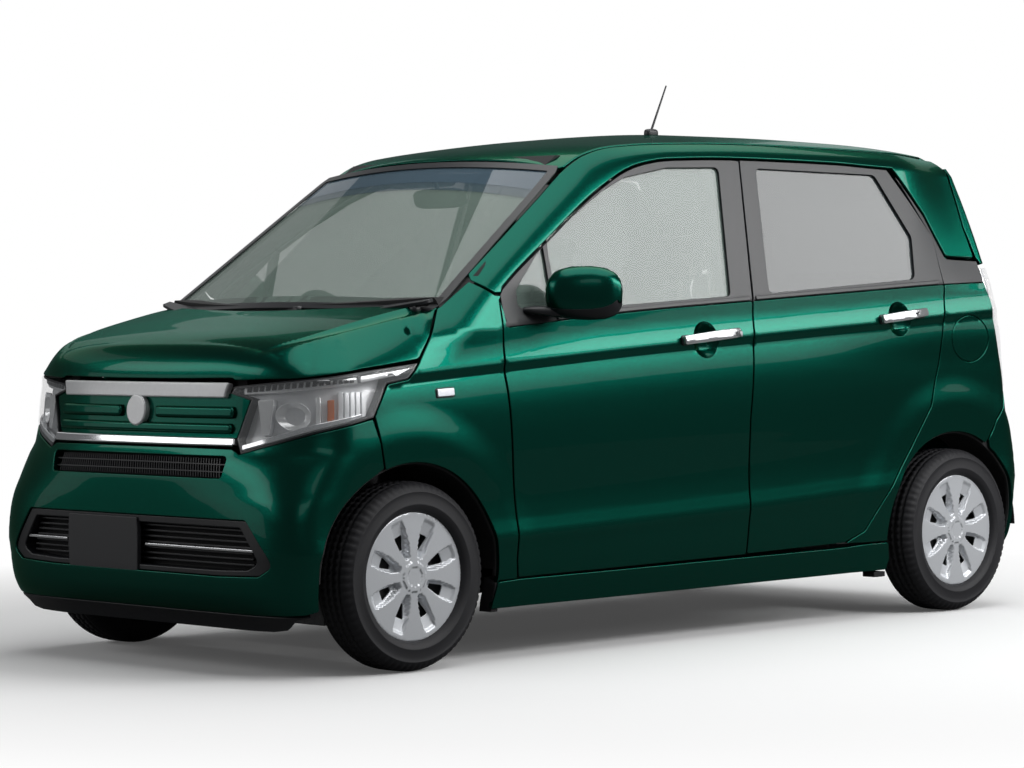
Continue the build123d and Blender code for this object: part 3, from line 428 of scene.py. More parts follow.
def other_side(verts, faces, normals=None):
    """Mirror image across the middle."""
    flipped = None
    if normals is not None:
        start, flipped = 0, []
        for f in faces:
            flipped += [np.asarray(n) * (1, -1, 1) for n in normals[start:start + len(f)][::-1]]
            start += len(f)
    return np.asarray(verts, float) * (1, -1, 1), [tuple(f[::-1]) for f in faces], flipped


def both(name, shape, look, body="body", slot=None, replaces=()):
    """A piece on the left and its mirror image on the right. {side} in a name stands for the side."""
    made = []
    for side in ("left", "right"):
        if side == "right":
            shape = other_side(*shape)
        nodes = [node.format(side=side) for node in replaces if "{" in node or side == "left"]
        made.append(piece(f"{name}_{side}", shape, look, body.format(side=side), slot, nodes))
    return made


def merged(*shapes):
    """Several closed meshes as one, with their normals if they have them."""
    verts, faces, start = [], [], 0
    for shape in shapes:
        verts.append(np.asarray(shape[0], float))
        faces += [tuple(i + start for i in f) for f in shape[1]]
        start += len(shape[0])
    full = len(shapes[0]) == 3 and shapes[0][2] is not None
    normals = [n for shape in shapes for n in shape[2]] if full else None
    return np.concatenate(verts), faces, normals


def sheet(outline, surface, holes=(), depth=.016, edge=.0025, gap=.018, rows=(), rings=3, flip=False):
    """Panel cut out of a surface, with a smooth face, a rounded hem, a folded edge and an inner face."""
    loops = []
    for i, points in enumerate((outline, *holes)):
        loop = resampled(rounded(points), gap)
        if (area(loop) > 0) != (i == 0):
            loop = loop[::-1]
        loops.append(loop)
    main = [shifted(loop, edge) for loop in loops]
    lo, hi = loops[0].min(0), loops[0].max(0)
    xs = np.arange(lo[0], hi[0], gap)
    ys = np.arange(lo[1], hi[1], gap * .87)
    grid = np.array([(x + (gap / 2 if j % 2 else 0), y) for j, y in enumerate(ys) for x in xs])
    extra = []
    for row in rows:
        along = np.arange(lo[0], hi[0], gap)
        extra.append(np.stack([along, row(along)], -1))
    if extra:
        extra = np.concatenate(extra)
        near = np.min(np.abs(grid[:, 1:2] - np.stack([row(grid[:, 0]) for row in rows], -1)), axis=1)
        grid = np.concatenate([grid[near > gap * .4], extra])
    keep = inside(grid, main[0])
    for hole in main[1:]:
        keep &= ~inside(grid, hole)
    grid = grid[keep]
    for loop in main:
        grid = grid[distance(grid, loop) > gap * .5]
    points = np.concatenate([*main, grid])
    edges, start = [], 0
    for loop in main:
        n = len(loop)
        edges += [(start + k, start + (k + 1) % n) for k in range(n)]
        start += n
    got = delaunay_2d_cdt([Vector(p) for p in points], edges, [], 0, 1e-9)
    flat = np.array([(v.x, v.y) for v in got[0]])
    tris = np.array([f for f in got[2] if len(f) == 3])
    middle = flat[tris].mean(1)
    keep = inside(middle, main[0])
    for hole in main[1:]:
        keep &= ~inside(middle, hole)
    tris = tris[keep]
    where = {}
    for new, olds in enumerate(got[3]):
        for old in olds:
            where[old] = new
    count = len(flat)
    top = surface(flat[:, 0], flat[:, 1])
    up = normal(surface, flat[:, 0], flat[:, 1]) * (-1 if flip else 1)
    verts, faces, normals = [top], [], []
    for t in tris:
        t = t[::-1] if flip else t
        faces.append(tuple(t))
        normals += [up[i] for i in t]
    verts.append(top - up * depth)
    for t in tris:
        t = t if flip else t[::-1]
        faces.append(tuple(i + count for i in t))
        normals += [-up[i] for i in t]
    start, base = 0, 2 * count
    for loop in main:
        n = len(loop)
        ring = np.array([where[start + k] for k in range(n)])
        start += n
        if flip:
            ring = ring[::-1]
        here, n_up = top[ring], up[ring]
        along = np.roll(here, -1, 0) - np.roll(here, 1, 0)
        out = np.cross(along, n_up)
        out /= np.maximum(np.linalg.norm(out, axis=1, keepdims=True), 1e-9)
        levels = [(ring, n_up)]
        for k in range(1, rings + 1):
            angle = pi / 2 * k / rings
            verts.append(here + out * edge * sin(angle) - n_up * edge * (1 - cos(angle)))
            levels.append((np.arange(base, base + n), n_up * cos(angle) + out * sin(angle)))
            base += n
        verts.append(here + out * edge - n_up * depth)
        levels.append((np.arange(base, base + n), out))
        base += n
        for (r0, n0), (r1, n1) in zip(levels, levels[1:]):
            for k in range(n):
                j = (k + 1) % n
                faces.append((r0[k], r1[k], r1[j], r0[j]))
                normals += [n0[k], n1[k], n1[j], n0[j]]
        r0, r1 = levels[-1][0], ring + count
        for k in range(n):
            j = (k + 1) % n
            faces.append((r0[k], r1[k], r1[j], r0[j]))
            normals += [-n_up[k], -n_up[k], -n_up[j], -n_up[j]]
    return np.concatenate(verts), faces, normals


def follow(function, start, end, count, offset=0.):
    """Points along a height line from one station to another."""
    xs = np.linspace(start, end, count)
    return [(float(x), float(function(x)) + offset) for x in xs]


def arc(cx, cz, radius, start, end, count=24):
    """Points of a circle, angles in degrees from the rear, upward."""
    return [(cx + radius * cos(radians(t)), cz + radius * sin(radians(t)))
        for t in np.linspace(start, end, count)]


def grow(points, amount):
    """Outline grown by an amount."""
    loop = np.array([p[:2] for p in points])
    if area(loop) < 0:
        loop = loop[::-1]
    return [tuple(p) for p in shifted(loop, -amount)]


def disc(a0, z0, rx, rz=None, n=48):
    """Points of a circle or an ellipse."""
    return [(a0 + rx * cos(t), z0 + (rz or rx) * sin(t)) for t in np.linspace(0, 2 * pi, n + 1)[:-1]]


def sheets(outlines, surface, depth, edge, gap=.03):
    """Several small panels as one shape."""
    return merged(*[sheet(points, surface, depth=depth, edge=edge, gap=gap, rings=2)
        for points in outlines])


def strip(a0, z0, a1, z1, tall):
    """Outline of a slim bar between two places."""
    return [(a0, z0 - tall / 2), (a1, z1 - tall / 2), (a1, z1 + tall / 2), (a0, z0 + tall / 2)]


DETAIL_ROWS = [lambda x, d=d: CREASE(x) + d for d in (-.10, -.075, -.056, -.042, -.032, -.027, -.021, -.014,
    -.007, .002, .012)]
DETAIL_ROWS += [lambda x, d=d: LINE(x) + d for d in (-.030, -.016, -.006, .004, .014, .026, .040)]


# Side panels

def to_tail(a):
    """Same place on the far side of the tail."""
    return 2 * A_TAIL - a


def to_nose(a):
    """Same place on the far side of the nose."""
    return 2 * A_NOSE - a


def across_nose(points):
    """Outline that goes on, mirrored, on the nose's far side."""
    return points + [(to_nose(p[0]), *p[1:]) for p in points[::-1]]


def across_tail(points):
    """Outline that goes on, mirrored, on the tail's far side."""
    return points + [(to_tail(p[0]), *p[1:]) for p in points[::-1]]


FRONT_ARC_LOOP = arc(*FRONT_ARCH, .346, 168, -5, 40)
REAR_ARC_LOOP = arc(*REAR_ARCH, .349, 190, -12, 40)

fender = [(-.1265, .5965)] + [p for p in FRONT_ARC_LOOP if p[0] > -.124] + [(.335, .246), (.4105, .2465),
    (.402, .304), (.401, .382), (.379, .711), (.364, .879), (.3765, 1.083, .004), (.388, 1.0965),
    (.363, 1.0985, .01), (.297, 1.1405), (.180, 1.067), (.1655, 1.061, .004), (.12, 1.0045), (.0775, .955),
    (.042, .913), (.033, .901, .004), (-.012, .8535, .02), (-.094, .8415, .02), (-.1565, .7515)]
both("fender", sheet(fender, outer, rows=DETAIL_ROWS), PAINT, replaces=["front_fenders"])

door_front = [(.3795, 1.086), (.370, .879), (.385, .711), (.407, .382), (.408, .304), (.4165, .2505, .012),
              (1.4325, .2585, .008), (1.440, .691), (1.4855, 1.066)] + follow(BELT, 1.482, .40, 24, -.004)
# Middles and radius of the hollows behind the handles
CUPS = {"front": (1.249, .951), "rear": (2.210, 1.0065)}
CUP_RADIUS = .057
both("door_front_skin", sheet(door_front, outer, holes=[disc(*CUPS["front"], CUP_RADIUS, n=40)],
    rows=DETAIL_ROWS), PAINT, "door_front_{side}", replaces=["door_front_{side}"])
door_rear = follow(BELT, 1.493, 2.463, 24, -.004) + [(2.467, 1.118), (2.411, .855), (2.356, .706),
    (2.253, .569), (2.134, .434), (2.016, .301), (1.922, .268, .012), (1.4385, .2605, .008), (1.446, .691),
    (1.491, 1.066)]
both("door_rear_skin", sheet(door_rear, outer, holes=[disc(*CUPS["rear"], CUP_RADIUS, n=40)],
    rows=DETAIL_ROWS), PAINT, "door_rear_{side}", replaces=["door_rear_{side}"])

# Black frames with their window openings
FRONT_TOP = follow(DOOR_TOP, 1.549, .40, 34, -.004)
frame_front = [*follow(BELT, .385, 1.484, 20, -.0025), (1.4845, 1.069), (1.551, 1.529), *FRONT_TOP[1:],
               (.385, 1.098, .004)]
glass_front_main = [(.618, 1.268, .012), (.90, 1.4215, .03), (1.012, 1.466, .03), (1.208, 1.500),
    (1.449, 1.506, .02), (1.388, 1.0905, .02), (1.12, 1.0770), (.888, 1.0650), (.612, 1.0480, .004)]
glass_front_small = [(.455, 1.115, .01), (.598, 1.252, .006), (.592, 1.0465, .004), (.52, 1.0405, .02),
    (.447, 1.065, .02)]
both("door_front_frame", sheet(frame_front, outer, holes=[glass_front_main, glass_front_small], depth=.030,
    edge=.0015), BLACK, "door_front_{side}", slot="gloss_trim")
REAR_TOP = follow(DOOR_TOP, 2.285, 1.560, 24, -.004)
frame_rear = [*follow(BELT, 1.4925, 2.465, 20, -.0025), (2.464, 1.288), *REAR_TOP, (1.5575, 1.531),
              (1.4925, 1.069)]
glass_rear = [(1.628, 1.506, .02), (2.215, 1.4955, .03), (2.345, 1.285, .03), (2.318, 1.142, .03),
    (1.573, 1.098, .02)]
both("door_rear_frame", sheet(frame_rear, outer, holes=[glass_rear], depth=.030, edge=.0015), BLACK,
    "door_rear_{side}", slot="gloss_trim")
# The door panes use the darker glass with painted shade
both("glass_front", sheet(grow(glass_front_main, .006), lowered(outer, .008), depth=.005, edge=.001,
    gap=.03, rings=1), SHADED_SIDE_GLASS, "door_front_{side}", replaces=["door_front_{side}_glass"])
both("glass_quarter", sheet(grow(glass_front_small, .004), lowered(outer, .008), depth=.005, edge=.001,
    gap=.03, rings=1), SHADED_SIDE_GLASS, "door_front_{side}")
both("glass_rear", sheet(grow(glass_rear, .006), lowered(outer, .008), depth=.005, edge=.001, gap=.03,
    rings=1), TINTED, "door_rear_{side}", replaces=["door_rear_{side}_glass"])
# Weather strips along the belt
for stem, start, end, body in (("front", .60, 1.474, "door_front_{side}"),
        ("rear", 1.502, 2.44, "door_rear_{side}")):
    lip = follow(BELT, start, end, 20, -.001) + follow(BELT, end, start, 20, .0125)
    both(f"belt_strip_{stem}", sheet(lip, lowered(outer, -.004), depth=.012, edge=.0025, gap=.03), BLACK,
        body, slot="gloss_trim")

# Rail from the front pillar to the rear pillar
rail = [(.302, 1.1435), (.3665, 1.1045, .006),
    (.392, 1.1045)] + follow(DOOR_TOP, .40, 2.318, 60, .003) + [(2.449, 1.362), (2.520, 1.220, .018),
    (2.684, 1.2135, .014), (2.675, 1.323), (2.70, 1.530)] + follow(TOP_Z, 2.70, .31, 70, -.002)
both("side_rail", sheet(rail, outer, edge=.005), PAINT, replaces=["a_pillars", "side_rails"])
# Quarter panel
quarter = follow(BELT, 2.474, 2.692, 8, -.004) + [(2.70, 1.10), (2.752, .97), (2.800, .85), (2.826, .765),
    (2.80, .70), (2.724, .654), (2.675, .585)] + [p
    for p in REAR_ARC_LOOP[::-1] if p[1] > .262 and p[0] < 2.668] + [(2.146, .262), (2.04, .262),
    (1.928, .265, .004), (2.022, .301), (2.140, .434), (2.259, .569), (2.362, .706), (2.417, .855)]
flap_line = disc(2.5845, .9365, .100, .081)
piece("quarter_left", sheet(quarter, outer, holes=[flap_line], rows=DETAIL_ROWS), PAINT,
    replaces=["quarter_panels"])
piece("quarter_right", other_side(*sheet(quarter, outer, rows=DETAIL_ROWS)), PAINT)
piece("fuel_flap", sheet(grow(flap_line, -.0022), outer, rows=DETAIL_ROWS), PAINT)
black_quarter = [(2.470, 1.288), (2.329, 1.492), (2.446, 1.355), (2.5155, 1.216, .012), (2.531, 1.2115),
    (2.698, 1.205), (2.694, 1.135)] + follow(BELT, 2.690, 2.473, 8, -.001)
both("quarter_trim", sheet(black_quarter, lowered(outer, .004), depth=.012), BLACK, slot="gloss_trim")
# Sill
sill = [(.320, .160), (.335, .2405)] + [(x, .2445 + .006 * (x - .4) / 1.5)
    for x in np.linspace(.42, 1.92, 16)] + [(2.04, .256), (2.150, .256), (2.165, .200), (2.155, .163)]
both("sill", sheet(sill, outer), PAINT)
for stem, points in (("front", [(.322, .150), (.327, .240), (.345, .240), (.352, .150)]),
                     ("rear", [(2.10, .140), (2.10, .158), (2.158, .158), (2.158, .140)])):
    both(f"flap_{stem}", sheet(points, lowered(outer, .006), depth=.05, edge=.002), RUBBER, slot="under")
# Bodywork behind the doors' edges
both("jamb_b", sheet([(1.30, .25), (1.34, 1.05), (1.36, 1.06), (1.42, 1.515), (1.68, 1.515), (1.60, 1.06),
    (1.58, .25)], lowered(outer, .052), depth=.02), GLOSS_BLACK, replaces=["b_pillars"])

# Nose

bumper_lip = [(-.80, .6635), (-.640, .6615, .004), (-.612, .6465), (-.36, .7065)]
bumper_half = [(-.1665, .7435), (-.1455, .67), (-.1335, .600)] + [(p[0] - .004, p[1])
    for p in FRONT_ARC_LOOP if p[0] <= -.134 and .21 < p[1] < .59][::-1] + [(-.356, .200, .01),
    (-.40, .190), (-.45, .187)] + [(float(x), .185) for x in np.linspace(-.55, A_NOSE, 10)[:-1]]
bumper_loop = across_nose(bumper_lip + bumper_half)
slot = across_nose([(-.676, .577, .012), (-.654, .640, .012)])
mouth = across_nose([(-.6993, .2945, .03), (-.538, .300, .025), (-.493, .3285, .02), (-.585, .4595, .016)])
piece("bumper_front", sheet(bumper_loop, outer, holes=[slot, mouth], gap=.018, edge=.003), PAINT,
    replaces=["front_bumper"])
# Air dam
dam = across_nose([(-.386, .184), (-.43, .176), (-.4772, .1441, .006), (-.53, .137), (-.62, .135)])
piece("air_dam", sheet(dam, lowered(outer, -.001), depth=.02, gap=.03), BLACK)
# Slot grille: back plate, mesh bars
piece("slot_back", sheet(grow(slot, .006), lowered(outer, .030), depth=.004, gap=.03, rings=1), RUBBER)
piece("mouth_back", sheet(grow(mouth, .006), lowered(outer, .050), depth=.004, gap=.03, rings=1), RUBBER)
piece("slot_bars", sheets([strip(-.660, z, to_nose(-.660), z, .004)
    for z in (.597, .619)] + [[(a - .002, .580), (a + .002, .580), (a + .002, .637), (a - .002, .637)]
    for a in np.arange(-1.44, -.69, .011)], lowered(outer, .012), .010, .0008), BLACK, replaces=["grille"])
# Bezel, bars and bright strips in the lower opening
piece("mouth_bezel", sheet(grow(mouth, -.0005), lowered(outer, .006),
    holes=[across_nose([(-.712, .312, .02), (-.585, .317, .02), (-.548, .336, .015), (-.612, .437, .012)])],
    depth=.045, edge=.004, gap=.03), BLACK)
piece("mouth_bars", sheets([strip(-.575 - (z - .32) * .3, z, to_nose(-.575 - (z - .32) * .3), z, .006)
    for z in np.arange(.330, .435, .0165)], lowered(outer, .026), .012, .0015), BLACK,
    replaces=["lower_grille"])
piece("mouth_brights", sheets([strip(-.553, .372, -1.046, .372, .0085),
    strip(-1.375, .372, to_nose(-.553), .372, .0085)], lowered(outer, .010), .014, .0025), CHROME)
# Blank plate place on the car's right half
piece("plate_place", sheet([(-1.3588, .291, .006), (-1.0630, .291, .006), (-1.0630, .4515, .006),
    (-1.3588, .4515, .006)], lowered(outer, -.0002), depth=.014, edge=.003, gap=.03), PLATE)
# Grille panel with two ribs, and chrome bars
panel_loop = across_nose([(-.6365, .6935, .004), (-.5835, .802, .004), (-.646, .8215, .004)])
piece("grille_panel", sheet(panel_loop, lowered(outer, .010), depth=.012, edge=.002, gap=.03), PAINT)
piece("grille_ribs", sheets([strip(-.640, .766, -.985, .766, .036),
    strip(-1.150, .766, to_nose(-.652), .766, .036), strip(-.648, .720, to_nose(-.648), .720, .030)],
    lowered(outer, -.005), .020, .011), PAINT)
top_bar = across_nose([(-.672, .8075, .008), (-.657, .8525, .008)])
low_bar = across_nose([(-.632, .6685, .006), (-.634, .693, .006)])
for name, points in (("chrome_top", top_bar), ("chrome_low", low_bar)):
    piece(name, sheet(points, lowered(outer, -.006), depth=.022, edge=.005, gap=.03, rings=4),
        BRIGHT if name == "chrome_top" else CHROME)
# Round blank place in the middle of the top bar
piece("nose_disc", sheet(disc(A_NOSE, .768, .047, n=40), lowered(outer, -.009), depth=.018, edge=.006,
    gap=.012, rings=4), BRIGHT)

# Headlamps
lamp = [(-.652, .8215, .006), (-.637, .8405, .006), (-.323, .8685), (-.16, .884), (.026, .9015, .004),
    (-.0175, .8555, .02), (-.099, .8435, .02), (-.161, .7505, .006), (-.36, .7105), (-.607, .6505, .008),
    (-.629, .690, .01), (-.576, .803, .01)]
both("lamp_gasket", sheet(grow(lamp, .0015), lowered(outer, .004), holes=[grow(lamp, -.005)], depth=.045,
    edge=.001, gap=.03), BLACK, replaces=["headlamps"])
both("lamp_lens", sheet(grow(lamp, -.0035), lowered(outer, -.0015), depth=.003, edge=.002, gap=.02), LENS_PAINTED_SHEEN)

# Insides of the lamp, from the tip inward
both("lamp_bowl", sheet(grow(lamp, -.006), lowered(outer, .034), depth=.003, edge=.001, gap=.02), LAMP_GREY)
teeth = [[(a, float(z) - .024), (a + .0155, float(z) - .023), (a + .0155, float(z) - .006),
    (a, float(z) - .007)] for a, z in ((a, .848 + (a + .62) * .062) for a in np.linspace(-.60, -.235, 17))]
both("lamp_led_bed", sheets([[(-.615, .818), (-.200, .842), (-.205, .872), (-.615, .842)]],
    lowered(outer, .018), .014, .002), LAMP_CHROME)
both("lamp_led", sheets(teeth, lowered(outer, .014), .006, .001), GLOSS_BLACK, slot="lamp")
both("lamp_blade", sheets([[(-.195, .846, .004), (-.05, .8685), (.012, .893, .003), (-.15, .8765),
    (-.192, .8735, .004)]], lowered(outer, .010), .016, .003), LAMP_CHROME)
both("lamp_ribs", sheets([[(a, .733 + (a + .29) * .18), (a + .019, .737 + (a + .29) * .18),
    (a + .030, .829), (a + .011, .827)] for a in np.arange(-.29, -.175, .024)], lowered(outer, .019), .012,
    .002), LAMP_GREY)
both("lamp_amber", sheets([[(-.327, .742, .003), (-.303, .747, .003), (-.298, .806, .003),
    (-.322, .804, .003)]], lowered(outer, .016), .014, .002), AMBER)
BOWL_AT = (-.440, .758)


def dish(a, z):
    """Reflector of the headlamp, deepest at its bulb."""
    r = np.clip(np.hypot(np.asarray(a) - BOWL_AT[0], (np.asarray(z) - BOWL_AT[1]) * 1.4) / .062, 0, 1)
    return lowered(outer, .014)(a, z) - normal(outer, a, z) * (.030 * (1 - r[..., None]**2))


both("lamp_dish", sheet(disc(*BOWL_AT, .060, .040, 32), dish, holes=[disc(*BOWL_AT, .012, n=16)],
    depth=.002, edge=.0015, gap=.006), LAMP_CHROME)
both("lamp_fin", sheets([[(-.365, .722, .003), (-.350, .725, .003), (-.345, .812), (-.36, .811)],
    [(-.545, .700, .003), (-.52, .704), (-.500, .806), (-.56, .803, .004)]], lowered(outer, .012), .018,
    .002), LAMP_CHROME)
both("lamp_foot", sheets([[(-.606, .6585, .002), (-.36, .7185), (-.205, .7495, .003), (-.205, .762, .003),
    (-.36, .7355), (-.610, .6745, .002)]], lowered(outer, .004), .016, .003), CHROME)

# Bonnet, screen, roof

LAMP_TOP = smooth([(-.68, .8555), (-.652, .8555), (-.637, .8500), (-.323, .8745), (-.16, .889),
    (.033, .908)])
EDGE_SHARE = [0, .3, .6, .85, 1]
edge_line = np.concatenate([
    outer(np.linspace(A_NOSE, -.655, 120), .8565)[:-1],
    outer(np.linspace(-.652, .030, 220), LAMP_TOP(np.linspace(-.652, .030, 220)) + .0005),
    outer(np.interp(np.linspace(0, 1, 100), EDGE_SHARE, [.038, .0735, .116, .1590, .170]),
         np.interp(np.linspace(0, 1, 100), EDGE_SHARE, [.914, .9555, 1.006, 1.0600, 1.068]))])
BONNET_EDGE = edge_line * (1, -1, 1)
MIDDLE = smooth([(-.46, .925), (-.42, .950), (-.36, .974), (-.30, .992), (-.20, 1.014), (-.08, 1.040),
    (0, 1.056), (.10, 1.079), (.2, 1.100)])
RIDGE_Y = smooth([(-.363, .467), (-.322, .50), (-.26, .537), (-.19, .557), (-.082, .565), (.10, .577),
    (.2, .58)])
RIDGE_Z = smooth([(-.363, .943), (-.322, .963), (-.26, .982), (-.19, 1.001), (-.082, 1.0265), (.10, 1.063),
    (.2, 1.078)])
SHOULDER_Y = smooth([(-.363, .475), (-.30, .545), (-.215, .60), (-.036, .62), (.149, .64), (.2, .645)])
SHOULDER_Z = smooth([(-.363, .943), (-.30, .962), (-.215, .984), (-.036, 1.020), (.149, 1.056),
    (.2, 1.066)])
HOLLOW = smooth([(-.363, 0), (-.25, .004), (-.10, .010), (.10, .010), (.2, .006)])
shoulder_line = np.stack([SHOULDER_Y(np.linspace(-.363, .2, 120)), np.linspace(-.363, .2, 120)],
    -1)[:, ::-1]
front_share = ease((BONNET_EDGE[:, 0] + .43) / .10)
to_shoulder = np.min(np.hypot(BONNET_EDGE[:, None, 0] - shoulder_line[None, :, 0],
                              BONNET_EDGE[:, None, 1] - shoulder_line[None, :, 1]), axis=1)
EDGE_WIDTH = .060 + (np.clip(to_shoulder, .03, .13) - .060) * front_share
EDGE_POWER = 2.2 - 1.0 * front_share


def bonnet_top(x, y):
    """Bonnet before its edge rolls over: raised middle, ridge, hollow and shoulder."""
    w = np.abs(y)
    ridge, shoulder, at_ridge, at_shoulder = RIDGE_Y(x), SHOULDER_Y(x), RIDGE_Z(x), SHOULDER_Z(x)
    crown = MIDDLE(x) - (MIDDLE(x) - at_ridge) * (w / ridge) ** 2.6
    q = np.clip((w - ridge) / np.maximum(shoulder - ridge, .008), 0, 1)
    hollow = at_ridge + (at_shoulder - at_ridge) * q - HOLLOW(x) * np.sin(pi * q)
    return np.where(w < ridge, crown, hollow)


def bonnet_front(y):
    """Foremost place of the bonnet, a little ahead of its edge."""
    half = np.abs(y) / HALF_WIDTH
    return -.4490 + .2660 * (1 - np.maximum(1 - half**2.6, 0) ** (1 / 2.6))


def to_plan(u, y):
    """Plan place of the bonnet's own coordinates, which are dense near the nose."""
    front = bonnet_front(y)
    return front + (.20 - front) * (u / .65) ** 2


def from_plan(x, y):
    """The bonnet's own coordinate of a plan place."""
    front = bonnet_front(y)
    return .65 * np.sqrt(np.maximum((x - front) / (.20 - front), 1e-5))


def bonnet(u, y):
    """Bonnet whose rim meets the lamps, the nose and the fenders."""
    u, y = np.broadcast_arrays(np.asarray(u, float), np.asarray(y, float))
    x = to_plan(u, y)
    p = np.stack([x.ravel(), np.abs(y).ravel()], -1)
    edge = BONNET_EDGE[:, :2]
    step = edge[1:] - edge[:-1]
    length = (step**2).sum(1)
    best, share = np.full(len(p), 9.), np.zeros(len(p))
    for i in range(len(step)):
        t = np.clip(((p - edge[i]) @ step[i]) / length[i], 0, 1)
        d = np.hypot(p[:, 0] - edge[i, 0] - t * step[i, 0], p[:, 1] - edge[i, 1] - t * step[i, 1])
        near = d < best
        best[near], share[near] = d[near], i + t[near]
    index = np.arange(len(BONNET_EDGE))
    low = np.interp(share, index, BONNET_EDGE[:, 2])
    q = np.clip(best / np.interp(share, index, EDGE_WIDTH), 0, 1)
    e = np.interp(share, index, EDGE_POWER)
    rise = (1 - (1 - q) ** e) ** (1 / e)
    z = low + (bonnet_top(p[:, 0], p[:, 1]) - low) * rise
    return np.stack([x, y, z.reshape(x.shape)], -1)


bonnet_rim = [(from_plan(p[0], p[1]), -p[1]) for p in BONNET_EDGE[1:-4:2]]
cowl_edge = [(from_plan(.012 + .375 * y * y, y), -y) for y in np.linspace(.615, 0, 16)]
bonnet_half = [(from_plan(BONNET_EDGE[0][0], 0), 0)] + bonnet_rim + cowl_edge
bonnet_loop = bonnet_half + [(u, -y) for u, y in bonnet_half[::-1][1:-1]]


def along_bonnet(line, side, off):
    """Row of points beside a line of the bonnet, in the bonnet's own coordinates."""
    def row(u):
        y = np.full(np.shape(u), .55)
        for _ in range(14):
            y = .5 * y + .5 * line(to_plan(u, y))
        return side * (y + off)
    return row


bonnet_rows = [along_bonnet(line, side, off) for line in (RIDGE_Y, SHOULDER_Y) for side in (-1, 1)
               for off in (-.010, -.004, -.001, .001, .004, .010)]
piece("bonnet_skin", sheet(bonnet_loop, bonnet, gap=.013, edge=.0025, depth=.014, rows=bonnet_rows), PAINT,
    "bonnet", replaces=["bonnet"])


def cowl(x, y):
    """Panel under the wipers."""
    x, y = np.broadcast_arrays(np.asarray(x, float), np.asarray(y, float))
    return np.stack([x, y, 1.034 + .055 * y**2 + x * .22], -1)


cowl_loop = [(-.02 + .375 * y * y, -y) for y in np.linspace(.62, -.62, 21)] + [
    (.082 + .20 * y * y, -y) for y in np.linspace(-.63, .63, 21)]
piece("cowl", sheet(cowl_loop, cowl, gap=.03, depth=.01), BLACK)


def screen_s(x, y):
    """How far up the screen a station lies."""
    return (x - .062 - .163 * y * y * sin(SLOPE)) / cos(SLOPE)


screen_side = [(float(TOP_Y(x)) - .003, screen_s(x, float(TOP_Y(x)) - .003))
    for x in np.linspace(.185, .752, 24)]
screen_loop = [(y, .004 + .06 * (y / .63) ** 2)
    for y in np.linspace(-.626, .626, 25)] + screen_side[1:] + [(y, .808 + .020 * (y / .54) ** 2)
    for y in np.linspace(.538, -.538, 15)] + [(-y, s) for y, s in screen_side[::-1]][:-1]
piece("windscreen_glass", sheet(screen_loop, screen, depth=.005, edge=.001, gap=.04, rings=1), GLASS,
    replaces=["windscreen"])
inner_screen = [tuple(p) for p in shifted(resampled(screen_loop, .02), .024)]
piece("windscreen_border", sheet(grow(screen_loop, .006), lowered(screen, .0065), holes=[inner_screen],
    depth=.004, edge=.001, gap=.03, rings=1), BLACK)
piece("windscreen_shade", sheet([(-.562, .705), (.562, .705), (.545, .808), (-.545, .808)],
    lowered(screen, .0055), depth=.0006, edge=.0002, gap=.04, rings=1), SHADE)
piece("windscreen_shade_edge", sheet([(-.572, .662), (.572, .662), (.563, .7045), (-.563, .7045)],
    lowered(screen, .0055), depth=.0006, edge=.0002, gap=.04, rings=1), SHADE_EDGE)


def roof_half(x):
    """Half width of the roof skin between its grooves."""
    return float(TOP_Y(x)) - float(tuck(x, TOP_Z(x))) - .006


roof_side = [(x, -roof_half(x)) for x in np.linspace(.797, 2.585, 40)]
roof_back = [(2.600, y) for y in np.linspace(-.50, .50, 9)]
roof_loop = [(.742 + .042 * (y / .545) ** 2, y)
    for y in np.linspace(.535, -.535, 21)] + roof_side + roof_back + [(x, -y) for x, y in roof_side[::-1]]
piece("roof_skin", sheet(roof_loop, roof, gap=.035, edge=.004, depth=.018), PAINT, replaces=["roof_panel"])
both("roof_groove", sheet([(x, -roof_half(x) - .012)
    for x in np.linspace(.80, 2.60, 50)] + [ (x, -roof_half(x) + .010) for x in np.linspace(2.60, .80, 50)],
    lowered(roof, .009), gap=.03, depth=.008, edge=.001), RUBBER)

# Tail

GATE = A_TAIL - .612
gate_half = [(GATE + .02, .612, .03), (GATE, .70), (GATE - .002, 1.0), (GATE + .002, 1.3),
    (GATE + .004, 1.545, .02)]
gate_window = across_tail([(A_TAIL - .520, 1.150, .05), (A_TAIL - .520, 1.452, .05)])
gate_loop = across_tail(gate_half)
gate_plate = across_tail([(A_TAIL - .235, .715, .03), (A_TAIL - .245, .905, .03)])
piece("tailgate_skin", sheet(gate_loop, outer, holes=[gate_window, gate_plate], gap=.022), PAINT,
    "tailgate", replaces=["tailgate"])
piece("tailgate_pane", sheet(grow(gate_window, .012), lowered(outer, -.003), depth=.006, edge=.002,
    gap=.03), TINTED, "tailgate", replaces=["tailgate_glass"])
piece("tailgate_border", sheet(grow(gate_window, .008), lowered(outer, .006),
    holes=[grow(gate_window, -.022)], depth=.004, edge=.001, gap=.03), GLOSS_BLACK, "tailgate")
piece("tailgate_recess", sheet(grow(gate_plate, .004), lowered(outer, .028), depth=.014, edge=.002,
    gap=.03), JAMB, "tailgate")
piece("tailgate_plate_place", sheet(across_tail([(A_TAIL - .165, .735, .006), (A_TAIL - .165, .885, .006)]),
    lowered(outer, .018), depth=.006, edge=.002, gap=.03), BLACK, "tailgate")
piece("tailgate_trim", sheet(across_tail([(A_TAIL - .300, .918, .01), (A_TAIL - .300, .948, .01)]),
    lowered(outer, -.010), depth=.02, edge=.006, gap=.02, rings=4), CHROME, "tailgate")


